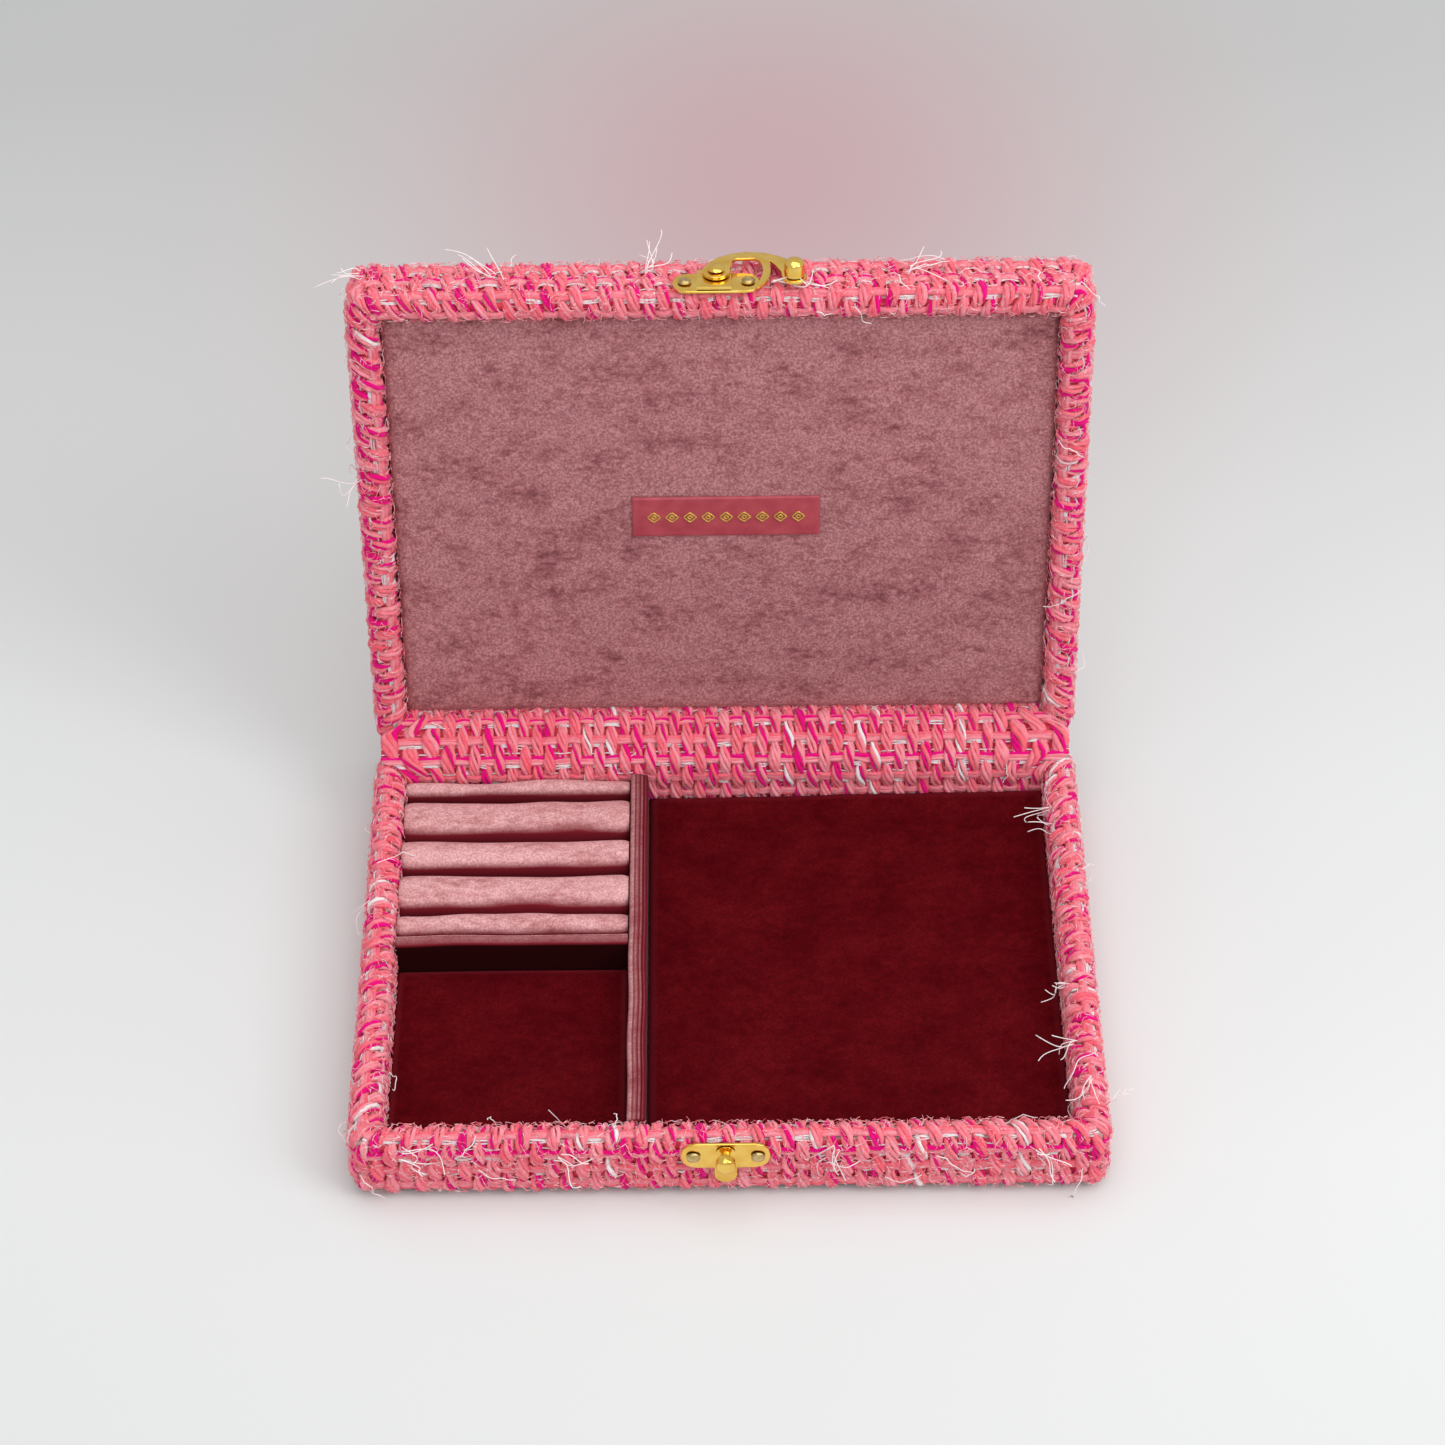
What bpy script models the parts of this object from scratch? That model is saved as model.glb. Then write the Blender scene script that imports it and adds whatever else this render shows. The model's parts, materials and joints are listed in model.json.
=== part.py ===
"""A tweed-covered jewelry box with a hinged lid, a ring holder and a swing-hook latch.

Metres, +Z up. The origin is the centre of the tray's underside. The lid stands open at rest.
"""
import math

import bmesh
import bpy
from mathutils import Matrix, Vector

# Overall sizes
BOX_WIDTH = 0.200
BOX_DEPTH = 0.150
TRAY_HEIGHT = 0.022
LID_HEIGHT = 0.020
LID_OPEN_DEG = 96.0

# Wall build-up and clearances
TWEED = 0.0020
BOARD = 0.0040
BASE_BOARD = 0.0030
TOP_BOARD = 0.0025
GAP = 0.0003
RIM_RADIUS = 0.0035
CORNER_RADIUS = 0.0040
INSIDE_CORNER_RADIUS = 0.0005
BASE_EDGE = 0.0012
WALL = TWEED + GAP + BOARD + GAP + TWEED
INNER_X = BOX_WIDTH / 2 - WALL
INNER_Y = BOX_DEPTH / 2 - WALL
MATING_GAP = GAP

# Underside and floors
FELT = 0.0010
FELT_INSET = 0.0030
FELT_RADIUS = 0.0060
WRAP_BOTTOM = 0.0006
COMPARTMENT_DEPTH = 0.0115
FLOOR_TOP = TRAY_HEIGHT - COMPARTMENT_DEPTH
PAD_EDGE = 0.0008

# Dividers
DIVIDER_CENTRE_X = -0.0245
DIVIDER_BOARD = 0.0026
LEDGE_FRONT_Y = -0.0016
LEDGE_BOARD = 0.0016
SLEEVE = 0.0009
DIVIDER_DROP = 0.0012
LEDGE_DROP = 0.0020
DIVIDER = DIVIDER_BOARD + 2 * (GAP + SLEEVE)
LEDGE = LEDGE_BOARD + 2 * (GAP + SLEEVE)

# Ring holder: widths of the padded rolls, from the back roll to the front one
ROLL_WIDTHS = (0.0066, 0.0163, 0.0132, 0.0156, 0.0098)
ROLL_DROP = 0.0018
ROLL_FLANK = 0.45
ROLL_BASE = 0.0018

# Lid lining and label
LID_HOLLOW = 0.0042
LINING_EDGE = 0.0020
LABEL_WIDTH = 0.0520
LABEL_LENGTH = 0.0130
LABEL = 0.0006
LABEL_FROM_HINGE = 0.0765
LABEL_X = 0.0010

# Hinge cloths
STRIP = 0.0015
STRIP_FLARE = 0.0040
STRIP_FLARE_START = 0.0020
HINGE_CLOTH = 0.0010
HINGE_CLOTH_LEG = 0.0090

# Latch: plates, nails, stud, bridge and rivet
LATCH_X = -0.0010
PLATE = 0.0008
PLATE_WIDTH = 0.0234
PLATE_HEIGHT = 0.0092
PLATE_CORNER = 0.0040
NAIL_OFFSET = 0.0085
NAIL_SHANK_RADIUS = 0.0006
NAIL_HEAD_RADIUS = 0.0019
NAIL_HEAD = 0.0008
NAIL_DEPTH = 0.0038
CLASP_PLATE_CENTRE = 0.0048
CATCH_PLATE_CENTRE = 0.0051
CATCH_TAB_RADIUS = 0.0030
CATCH_TAB_REACH = 0.0059
PIVOT_ABOVE_MOUTH = 0.0070
PIVOT_TO_STUD = 0.0108
BRIDGE_LEFT = 0.0052
BRIDGE_RIGHT = 0.0040
BRIDGE_HEIGHT = 0.0088
BRIDGE = 0.0011
STUD_NECK_RADIUS = 0.0014
STUD_HEAD_RADIUS = 0.0025
STUD_HEAD = 0.0018
RIVET_RADIUS = 0.0010
RIVET_HEAD_RADIUS = 0.0023
RIVET_HEAD = 0.0009
RIVET_TAIL = 0.0012

# Swing hook
HOOK = 0.0010
HOOK_BOSS_RADIUS = 0.0038
CLAW_RADIUS = PIVOT_TO_STUD + STUD_NECK_RADIUS + GAP
CLAW_WIDTH = 0.0021
WINDOW_TOP = 0.0060
ARCH_TOP = 0.0095
KNOB_U = 0.0208
KNOB_V = -0.0032
KNOB_RADIUS = 0.0029
KNOB_LENGTH = 0.0050
KNOB_BASE_RADIUS = 0.0033

CORNER_STEPS = 4
ROUND_SIDES = 20

for old in list(bpy.data.objects):
    bpy.data.objects.remove(old, do_unlink=True)


# ---------------------------------------------------------------- materials and placing

def material(name, colour, roughness, metallic=0.0):
    made = bpy.data.materials.new(name)
    made.use_nodes = True
    shader = made.node_tree.nodes["Principled BSDF"]
    shader.inputs["Base Color"].default_value = (*colour, 1.0)
    shader.inputs["Roughness"].default_value = roughness
    shader.inputs["Metallic"].default_value = metallic
    return made


TWEED_CLOTH = material("tweed", (0.90, 0.20, 0.24), 0.9)
VELVET_ROSE = material("rose_velvet", (0.36, 0.13, 0.17), 0.95)
VELVET_DARK = material("dark_velvet", (0.14, 0.01, 0.02), 0.95)
SATIN = material("satin", (0.55, 0.07, 0.12), 0.45)
GREYBOARD = material("greyboard", (0.42, 0.38, 0.33), 0.9)
FOAM = material("foam", (0.85, 0.82, 0.78), 0.95)
FELT_CLOTH = material("felt", (0.12, 0.02, 0.03), 0.95)
GOLD = material("gold", (0.83, 0.58, 0.16), 0.18, 1.0)

hinge_axis = Vector((0.0, BOX_DEPTH / 2, TRAY_HEIGHT + MATING_GAP / 2))
lid_frame = bpy.data.objects.new("lid_frame", None)
bpy.context.collection.objects.link(lid_frame)
lid_frame.location = hinge_axis
lid_frame.rotation_euler = (-math.radians(LID_OPEN_DEG), 0.0, 0.0)

# In the lid's own frame the closed lid spans -BOX_DEPTH..0 in y and MOUTH..MOUTH+LID_HEIGHT in z.
MOUTH = MATING_GAP / 2
LID_TOP = MOUTH + LID_HEIGHT
LID_CENTRE_Y = -BOX_DEPTH / 2
PIVOT_Z = MOUTH + PIVOT_ABOVE_MOUTH
STUD_Z = TRAY_HEIGHT + MATING_GAP + PIVOT_ABOVE_MOUTH - PIVOT_TO_STUD

# How far each layer of the latch stands off the box's front face
PLATE_BACK = GAP
PLATE_FRONT = PLATE_BACK + PLATE
BRIDGE_FRONT = PLATE_FRONT + BRIDGE
HOOK_BACK = BRIDGE_FRONT + GAP
HOOK_FRONT = HOOK_BACK + HOOK

hook_frame = bpy.data.objects.new("hook_frame", None)
bpy.context.collection.objects.link(hook_frame)
hook_frame.parent = lid_frame
hook_frame.location = (LATCH_X, -BOX_DEPTH, PIVOT_Z)


def add(name, mesh, look, parent=None):
    made = bpy.data.objects.new(name, mesh)
    mesh.materials.append(look)
    bpy.context.collection.objects.link(made)
    made.parent = parent
    return made


def mesh_from(name, build):
    work = bmesh.new()
    build(work)
    bmesh.ops.recalc_face_normals(work, faces=work.faces)
    mesh = bpy.data.meshes.new(name)
    work.to_mesh(mesh)
    work.free()
    return mesh


def smooth(made, angle=40.0):
    made.data.shade_smooth()
    made.data.set_sharp_from_angle(angle=math.radians(angle))


# ---------------------------------------------------------------- shapes

def rounded_rectangle(half_x, half_y, radius, steps=CORNER_STEPS):
    """Points of a rounded rectangle round the origin, anticlockwise."""
    points = []
    for quarter, (sx, sy) in enumerate(((1, 1), (-1, 1), (-1, -1), (1, -1))):
        for step in range(steps + 1):
            angle = math.radians(90.0 * (quarter + step / steps))
            points.append((sx * (half_x - radius) + radius * math.cos(angle),
                           sy * (half_y - radius) + radius * math.sin(angle)))
    return points


def arc(centre_u, centre_v, radius, start_deg, end_deg, steps):
    points = []
    for step in range(steps + 1):
        angle = math.radians(start_deg + (end_deg - start_deg) * step / steps)
        points.append((centre_u + radius * math.cos(angle), centre_v + radius * math.sin(angle)))
    return points


def block(name, low, high, look, parent=None, edge=0.0):
    """A box between two corners, with its edges bevelled by edge."""
    def build(work):
        bmesh.ops.create_cube(work, size=1.0)
        for vert in work.verts:
            vert.co = Vector([low[i] + (vert.co[i] + 0.5) * (high[i] - low[i]) for i in range(3)])
        if edge:
            bmesh.ops.bevel(work, geom=list(work.edges), offset=edge, segments=2, profile=0.6,
                            affect="EDGES", clamp_overlap=True)
    return add(name, mesh_from(name, build), look, parent)


def swept_walls(name, profile, centre_y, look, parent=None, capped=False):
    """Sweep a profile of (inset, z) points round the box's outline.

    A closed profile gives a ring; a capped one starts and ends with a flat panel.
    """
    def build(work):
        loops = []
        for inset, z in profile:
            outline = rounded_rectangle(BOX_WIDTH / 2 - inset, BOX_DEPTH / 2 - inset,
                                        max(CORNER_RADIUS - 2 * inset, INSIDE_CORNER_RADIUS))
            loops.append([work.verts.new((x, centre_y + y, z)) for x, y in outline])
        count = len(loops[0])
        pairs = list(zip(loops, loops[1:]))
        if not capped:
            pairs.append((loops[-1], loops[0]))
        for first, second in pairs:
            for i in range(count):
                j = (i + 1) % count
                work.faces.new((first[i], first[j], second[j], second[i]))
        if capped:
            work.faces.new(loops[0])
            work.faces.new(loops[-1])
    made = add(name, mesh_from(name, build), look, parent)
    smooth(made)
    return made


def extrusion(name, outline, place, look, parent=None, holes=()):
    """A flat plate: outline and holes are lists of (u, v); place(u, v, side) gives the point."""
    def build(work):
        rings = []
        for ring in (outline, *holes):
            rings.append([[work.verts.new(place(u, v, side)) for u, v in ring] for side in (0, 1)])
        for side in (0, 1):
            edges = []
            for pair in rings:
                loop = pair[side]
                edges += [work.edges.new((loop[i], loop[(i + 1) % len(loop)])) for i in range(len(loop))]
            bmesh.ops.triangle_fill(work, use_beauty=True, use_dissolve=False, edges=edges)
        for back, front in rings:
            for i in range(len(back)):
                j = (i + 1) % len(back)
                work.faces.new((back[i], back[j], front[j], front[i]))
    return add(name, mesh_from(name, build), look, parent)


def turned(name, foot, profile, look, parent=None, sides=ROUND_SIDES):
    """A solid turned about an axis that runs along -Y from foot, through (radius, out) points."""
    x, y, z = foot

    def build(work):
        start = work.verts.new((x, y - profile[0][1], z))
        rings = []
        for radius, out in profile[1:-1]:
            ring = []
            for step in range(sides):
                angle = math.tau * step / sides
                ring.append(work.verts.new((x + radius * math.cos(angle), y - out,
                                            z + radius * math.sin(angle))))
            rings.append(ring)
        end = work.verts.new((x, y - profile[-1][1], z))
        for step in range(sides):
            following = (step + 1) % sides
            work.faces.new((start, rings[0][step], rings[0][following]))
            work.faces.new((end, rings[-1][following], rings[-1][step]))
            for first, second in zip(rings, rings[1:]):
                work.faces.new((first[step], second[step], second[following], first[following]))
    made = add(name, mesh_from(name, build), look, parent)
    smooth(made)
    return made


def domed(radius, start, height, steps=4):
    """Profile points of a dome that stands height proud of start."""
    return [(radius * math.cos(math.radians(90.0 * step / steps)),
             start + height * math.sin(math.radians(90.0 * step / steps))) for step in range(steps + 1)]


# ---------------------------------------------------------------- tray

def four_boards(prefix, low_z, high_z, centre_y, parent=None):
    """Front and back boards run the full width; the side boards sit between them."""
    outer_x = BOX_WIDTH / 2 - TWEED - GAP
    outer_y = BOX_DEPTH / 2 - TWEED - GAP
    side_y = outer_y - BOARD - GAP
    for side, word in ((-1, "front"), (1, "back")):
        ends = sorted((side * outer_y, side * (outer_y - BOARD)))
        block(f"{prefix}_{word}_board", (-outer_x, centre_y + ends[0], low_z),
              (outer_x, centre_y + ends[1], high_z), GREYBOARD, parent)
    for side, word in ((-1, "left"), (1, "right")):
        ends = sorted((side * outer_x, side * (outer_x - BOARD)))
        block(f"{prefix}_{word}_board", (ends[0], centre_y - side_y, low_z),
              (ends[1], centre_y + side_y, high_z), GREYBOARD, parent)


BASE_BOTTOM = FELT + GAP
BASE_TOP = BASE_BOTTOM + BASE_BOARD
WALL_BOTTOM = BASE_TOP + GAP


def tray_shell():
    half_x = BOX_WIDTH / 2 - FELT_INSET
    half_y = BOX_DEPTH / 2 - FELT_INSET
    extrusion("underside_felt", rounded_rectangle(half_x, half_y, FELT_RADIUS),
              lambda u, v, side: (u, v, side * FELT), FELT_CLOTH)
    half_x = BOX_WIDTH / 2 - TWEED - GAP
    half_y = BOX_DEPTH / 2 - TWEED - GAP
    block("tray_base_board", (-half_x, -half_y, BASE_BOTTOM), (half_x, half_y, BASE_TOP), GREYBOARD)
    four_boards("tray", WALL_BOTTOM, TRAY_HEIGHT - TWEED - GAP, 0.0)
    top = TRAY_HEIGHT - RIM_RADIUS
    profile = [(TWEED, WRAP_BOTTOM), (BASE_EDGE, WRAP_BOTTOM), (0.0, WRAP_BOTTOM + BASE_EDGE)]
    profile += [(inset, z) for inset, z in arc(RIM_RADIUS, top, RIM_RADIUS, 180, 90, 4)]
    profile += [(inset, z) for inset, z in arc(WALL - RIM_RADIUS, top, RIM_RADIUS, 90, 0, 4)]
    profile += [(WALL, WALL_BOTTOM), (WALL - TWEED, WALL_BOTTOM)]
    profile += [(WALL - TWEED, TRAY_HEIGHT - TWEED), (TWEED, TRAY_HEIGHT - TWEED)]
    swept_walls("tray_tweed_wrap", profile, 0.0, TWEED_CLOTH)


DIVIDER_LEFT = DIVIDER_CENTRE_X - DIVIDER / 2
DIVIDER_RIGHT = DIVIDER_CENTRE_X + DIVIDER / 2
INSIDE = INNER_X - GAP
INSIDE_FRONT = -INNER_Y + GAP
INSIDE_BACK = INNER_Y - GAP - STRIP - GAP
LEDGE_BACK_Y = LEDGE_FRONT_Y + LEDGE


def sleeved_board(name, low, high, across, look):
    """A card divider in a velvet sleeve that covers its two faces and its top."""
    inset = SLEEVE + GAP
    board_low = list(low)
    board_high = list(high)
    board_low[across] += inset
    board_high[across] -= inset
    board_high[2] -= inset
    block(f"{name}_board", board_low, board_high, GREYBOARD)
    along = 1 - across
    middle = (low[across] + high[across]) / 2
    half = (high[across] - low[across]) / 2
    outer = [(-half, low[2])] + arc(0.0, high[2] - half, half, 180, 0, 8) + [(half, low[2])]
    slot = half - SLEEVE
    inner = [(slot, low[2]), (slot, high[2] - SLEEVE), (-slot, high[2] - SLEEVE), (-slot, low[2])]

    def place(u, v, side):
        point = [0.0, 0.0, v]
        point[across] = middle + u
        point[along] = low[along] + side * (high[along] - low[along])
        return point

    smooth(extrusion(f"{name}_velvet_sleeve", outer + inner, place, look))


def tray_inside():
    divider_top = TRAY_HEIGHT - DIVIDER_DROP
    ledge_top = TRAY_HEIGHT - LEDGE_DROP
    sleeved_board("divider", (DIVIDER_LEFT, INSIDE_FRONT, WALL_BOTTOM),
                  (DIVIDER_RIGHT, INSIDE_BACK, divider_top), 0, VELVET_ROSE)
    sleeved_board("cross_divider", (-INSIDE, LEDGE_FRONT_Y, WALL_BOTTOM),
                  (DIVIDER_LEFT - GAP, LEDGE_BACK_Y, ledge_top), 1, VELVET_DARK)
    block("right_floor_pad", (DIVIDER_RIGHT + GAP, INSIDE_FRONT, WALL_BOTTOM),
          (INSIDE, INSIDE_BACK, FLOOR_TOP), VELVET_DARK, edge=PAD_EDGE)
    block("left_floor_pad", (-INSIDE, INSIDE_FRONT, WALL_BOTTOM),
          (DIVIDER_LEFT - GAP, LEDGE_FRONT_Y - GAP, FLOOR_TOP), VELVET_DARK, edge=PAD_EDGE)


def ring_holder():
    """A foam base with padded rolls side by side; rings are pushed down between the rolls."""
    base_top = WALL_BOTTOM + ROLL_BASE
    front = LEDGE_BACK_Y + GAP
    block("ring_holder_base", (-INSIDE, front, WALL_BOTTOM),
          (DIVIDER_LEFT - GAP, INSIDE_BACK, base_top), FOAM)
    room = INSIDE_BACK - front
    share = room / sum(ROLL_WIDTHS)
    low = base_top + GAP
    high = TRAY_HEIGHT - ROLL_DROP
    back = INSIDE_BACK
    for number, width in enumerate(ROLL_WIDTHS, start=1):
        half = width * share / 2 - GAP / 2
        middle = back - width * share / 2
        spring = low + (high - low) * ROLL_FLANK
        outline = [(-half, low)]
        outline += [(-half * math.cos(math.radians(a)), spring + (high - spring) * math.sin(math.radians(a)))
                    for a in range(0, 181, 15)]
        outline += [(half, low)]
        made = extrusion(f"ring_roll_{number}", outline,
                         lambda u, v, side: (-INSIDE + side * (DIVIDER_LEFT - GAP + INSIDE), middle + u, v),
                         VELVET_ROSE)
        smooth(made)
        back -= width * share


# ---------------------------------------------------------------- hinge cloths

def lid_point(x, y, z):
    """A point of the lid's own frame in the tray's frame, with the lid at rest."""
    return Matrix.Rotation(-math.radians(LID_OPEN_DEG), 4, "X") @ Vector((x, y, z)) + hinge_axis


def offset_path(path, distance):
    """Shift a path of (y, z) points sideways by distance, with mitred corners."""
    points = [Vector(point) for point in path]
    shifted = []
    for i, point in enumerate(points):
        normals = []
        for first, second in ((i - 1, i), (i, i + 1)):
            if 0 <= first and second < len(points):
                along = (points[second] - points[first]).normalized()
                normals.append(Vector((-along.y, along.x)))
        mitre = sum(normals, Vector((0.0, 0.0))).normalized()
        shifted.append(point + mitre * (distance / mitre.dot(normals[0])))
    return shifted


def folded_strip(name, path, widths, thickness, look):
    """A strip that follows a path in the y-z plane, with a half width at each point."""
    shifted = offset_path(path, thickness)

    def build(work):
        rows = []
        for (y, z), far, half in zip(path, shifted, widths):
            rows.append([work.verts.new(point) for point in ((-half, y, z), (half, y, z),
                                                             (half, far.x, far.y), (-half, far.x, far.y))])
        for first, second in zip(rows, rows[1:]):
            for i in range(4):
                j = (i + 1) % 4
                work.faces.new((first[i], first[j], second[j], second[i]))
        work.faces.new(rows[0])
        work.faces.new(rows[-1])

    return add(name, mesh_from(name, build), look)


def hinge_cloths():
    """The taut inner strip stops the lid; the outer cloth bends on the hinge axis."""
    tray_y = INNER_Y - GAP
    lid_y = LID_CENTRE_Y + INNER_Y - GAP
    start = Vector((tray_y, TRAY_HEIGHT - GAP))
    end = lid_point(0.0, lid_y, MOUTH + GAP).yz
    along = (end - start).normalized() * STRIP_FLARE_START
    lid_end = lid_point(0.0, lid_y, MOUTH + LID_HOLLOW - GAP).yz
    path = [Vector((tray_y, FLOOR_TOP + GAP)), start, start + along, end - along, end, lid_end]
    wide = INSIDE + STRIP_FLARE
    folded_strip("inner_hinge_strip", path, (INSIDE, INSIDE, wide, wide, INSIDE, INSIDE), STRIP, TWEED_CLOTH)

    outside = BOX_DEPTH / 2 + GAP
    corner = lid_point(0.0, GAP, GAP).yz
    lid_end = lid_point(0.0, GAP, MOUTH + RIM_RADIUS + HINGE_CLOTH_LEG).yz
    tray_end = Vector((outside, TRAY_HEIGHT - RIM_RADIUS - HINGE_CLOTH_LEG))
    path = [tray_end, Vector((outside, corner.y)), lid_end]
    half = BOX_WIDTH / 2 - CORNER_RADIUS
    folded_strip("outer_hinge_cloth", path, (half, half, half), -HINGE_CLOTH, TWEED_CLOTH)


# ---------------------------------------------------------------- lid

def lid_shell():
    top_board_low = LID_TOP - TWEED - GAP - TOP_BOARD
    half_x = BOX_WIDTH / 2 - TWEED - GAP
    half_y = BOX_DEPTH / 2 - TWEED - GAP
    block("lid_top_board", (-half_x, LID_CENTRE_Y - half_y, top_board_low),
          (half_x, LID_CENTRE_Y + half_y, LID_TOP - TWEED - GAP), GREYBOARD, lid_frame)
    four_boards("lid", MOUTH + TWEED + GAP, top_board_low - GAP, LID_CENTRE_Y, lid_frame)
    high = LID_TOP - RIM_RADIUS
    low = MOUTH + RIM_RADIUS
    profile = [(inset, z) for inset, z in arc(RIM_RADIUS, high, RIM_RADIUS, 90, 180, 4)]
    profile += [(inset, z) for inset, z in arc(RIM_RADIUS, low, RIM_RADIUS, 180, 270, 4)]
    profile += [(inset, z) for inset, z in arc(WALL - RIM_RADIUS, low, RIM_RADIUS, 270, 360, 4)]
    profile += [(WALL, top_board_low - GAP), (WALL - TWEED, top_board_low - GAP)]
    profile += [(WALL - TWEED, MOUTH + TWEED), (TWEED, MOUTH + TWEED), (TWEED, LID_TOP - TWEED)]
    swept_walls("lid_tweed_wrap", profile, LID_CENTRE_Y, TWEED_CLOTH, lid_frame, capped=True)


def lid_inside():
    top_board_low = LID_TOP - TWEED - GAP - TOP_BOARD
    lining_low = MOUTH + LID_HOLLOW
    half_y = INNER_Y - GAP
    block("lid_lining", (-INSIDE, LID_CENTRE_Y - half_y, lining_low),
          (INSIDE, LID_CENTRE_Y + half_y, top_board_low - GAP), VELVET_ROSE, lid_frame, LINING_EDGE)
    middle = -LABEL_FROM_HINGE
    block("lid_label", (LABEL_X - LABEL_WIDTH / 2, middle - LABEL_LENGTH / 2, lining_low - GAP - LABEL),
          (LABEL_X + LABEL_WIDTH / 2, middle + LABEL_LENGTH / 2, lining_low - GAP), SATIN, lid_frame)


# ---------------------------------------------------------------- latch

def standing_off(face_y, back, front):
    """Placer for plates parallel to a front face: side 0 is the back, side 1 the front."""
    return lambda u, v, side: (u, face_y - (front if side else back), v)


def nail_pair(name, face_y, z, parent=None):
    head = PLATE_FRONT + GAP
    profile = [(0.0, -NAIL_DEPTH), (NAIL_SHANK_RADIUS, -NAIL_DEPTH), (NAIL_SHANK_RADIUS, head)]
    profile += domed(NAIL_HEAD_RADIUS, head, NAIL_HEAD)
    for side, word in ((-1, "left"), (1, "right")):
        turned(f"{name}_{word}", (LATCH_X + side * NAIL_OFFSET, face_y, z), profile, GOLD, parent, 12)


def nail_holes(z):
    holes = []
    for side in (-1, 1):
        ring = arc(LATCH_X + side * NAIL_OFFSET, z, NAIL_SHANK_RADIUS + GAP, 0, 360, 12)
        holes.append(ring[:-1])
    return holes


def nail_bores(z):
    return [(LATCH_X + side * NAIL_OFFSET, z, NAIL_SHANK_RADIUS + GAP) for side in (-1, 1)]


def plate_outline(z):
    return [(LATCH_X + u, z + v)
            for u, v in rounded_rectangle(PLATE_WIDTH / 2, PLATE_HEIGHT / 2, PLATE_CORNER, 3)]


def drill(name, holes, face_y, deep):
    """Cut round holes along Y, deep into the solid behind face_y; holes: list of (x, z, radius)."""
    target = bpy.data.objects[name]
    for number, (x, z, radius) in enumerate(holes):
        profile = [(0.0, -deep), (radius, -deep), (radius, BRIDGE_FRONT * 2), (0.0, BRIDGE_FRONT * 2)]
        cutter = turned(f"{name}_cutter_{number}", (x, face_y, z), profile, GREYBOARD, target.parent, 12)
        cutter.hide_render = True
        cutter.display_type = "WIRE"
        cut = target.modifiers.new(f"hole_{number}", "BOOLEAN")
        cut.operation = "DIFFERENCE"
        cut.solver = "EXACT"
        cut.object = cutter


def catch():
    """The tray's half of the latch: plate with a round tab, two nails and a headed stud."""
    face_y = -BOX_DEPTH / 2
    centre_z = TRAY_HEIGHT - CATCH_PLATE_CENTRE
    outline = plate_outline(centre_z)
    tab = arc(LATCH_X, centre_z - PLATE_HEIGHT / 2 - CATCH_TAB_REACH + CATCH_TAB_RADIUS, CATCH_TAB_RADIUS,
              180, 360, 10)
    neck_z = centre_z - PLATE_HEIGHT / 2
    left = [point for point in outline if point[0] < LATCH_X]
    right = [point for point in outline if point[0] > LATCH_X]
    top_right = [point for point in right if point[1] > centre_z]
    low_right = [point for point in right if point[1] <= centre_z]
    tab_sides = ([(LATCH_X - CATCH_TAB_RADIUS, neck_z)] + tab + [(LATCH_X + CATCH_TAB_RADIUS, neck_z)])
    extrusion("catch_plate", top_right + left + tab_sides + low_right,
              standing_off(face_y, PLATE_BACK, PLATE_FRONT), GOLD, holes=nail_holes(centre_z))
    nail_pair("catch_nail", face_y, centre_z)
    for name in ("tray_tweed_wrap", "tray_front_board"):
        drill(name, nail_bores(centre_z), face_y, NAIL_DEPTH + GAP)
    foot = PLATE_FRONT + GAP
    neck_end = HOOK_FRONT + GAP
    head = STUD_HEAD_RADIUS
    profile = [(0.0, foot), (head, foot), (head, foot + GAP), (STUD_NECK_RADIUS, foot + 2 * GAP)]
    profile += [(STUD_NECK_RADIUS, neck_end), (head * 0.9, neck_end + GAP), (head, neck_end + 2 * GAP)]
    profile += domed(head, neck_end + STUD_HEAD - GAP, 2 * GAP, 3)
    turned("catch_stud", (LATCH_X, face_y, STUD_Z), profile, GOLD)


def clasp():
    """The lid's half: plate with a raised bridge, two nails and the rivet the hook turns on."""
    face_y = -BOX_DEPTH
    centre_z = MOUTH + CLASP_PLATE_CENTRE
    extrusion("clasp_plate", plate_outline(centre_z), standing_off(face_y, PLATE_BACK, PLATE_FRONT),
              GOLD, lid_frame, nail_holes(centre_z))
    nail_pair("clasp_nail", face_y, centre_z, lid_frame)
    low = centre_z - PLATE_HEIGHT / 2 + GAP
    block("clasp_bridge", (LATCH_X - BRIDGE_LEFT, face_y - BRIDGE_FRONT, low),
          (LATCH_X + BRIDGE_RIGHT, face_y - PLATE_FRONT - GAP, low + BRIDGE_HEIGHT), GOLD, lid_frame)
    rivet_bore = (LATCH_X, PIVOT_Z, RIVET_RADIUS + GAP)
    for name in ("clasp_plate", "clasp_bridge"):
        drill(name, [rivet_bore], face_y, RIVET_TAIL + GAP)
    drill("lid_tweed_wrap", [rivet_bore] + nail_bores(centre_z), face_y, NAIL_DEPTH + GAP)
    drill("lid_front_board", nail_bores(centre_z), face_y, NAIL_DEPTH + GAP)
    shank = [(0.0, -RIVET_TAIL), (RIVET_RADIUS, -RIVET_TAIL), (RIVET_RADIUS, HOOK_FRONT + GAP)]
    turned("pivot_rivet", (LATCH_X, face_y, PIVOT_Z),
           shank + domed(RIVET_HEAD_RADIUS, HOOK_FRONT + GAP, RIVET_HEAD), GOLD, lid_frame)


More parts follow.
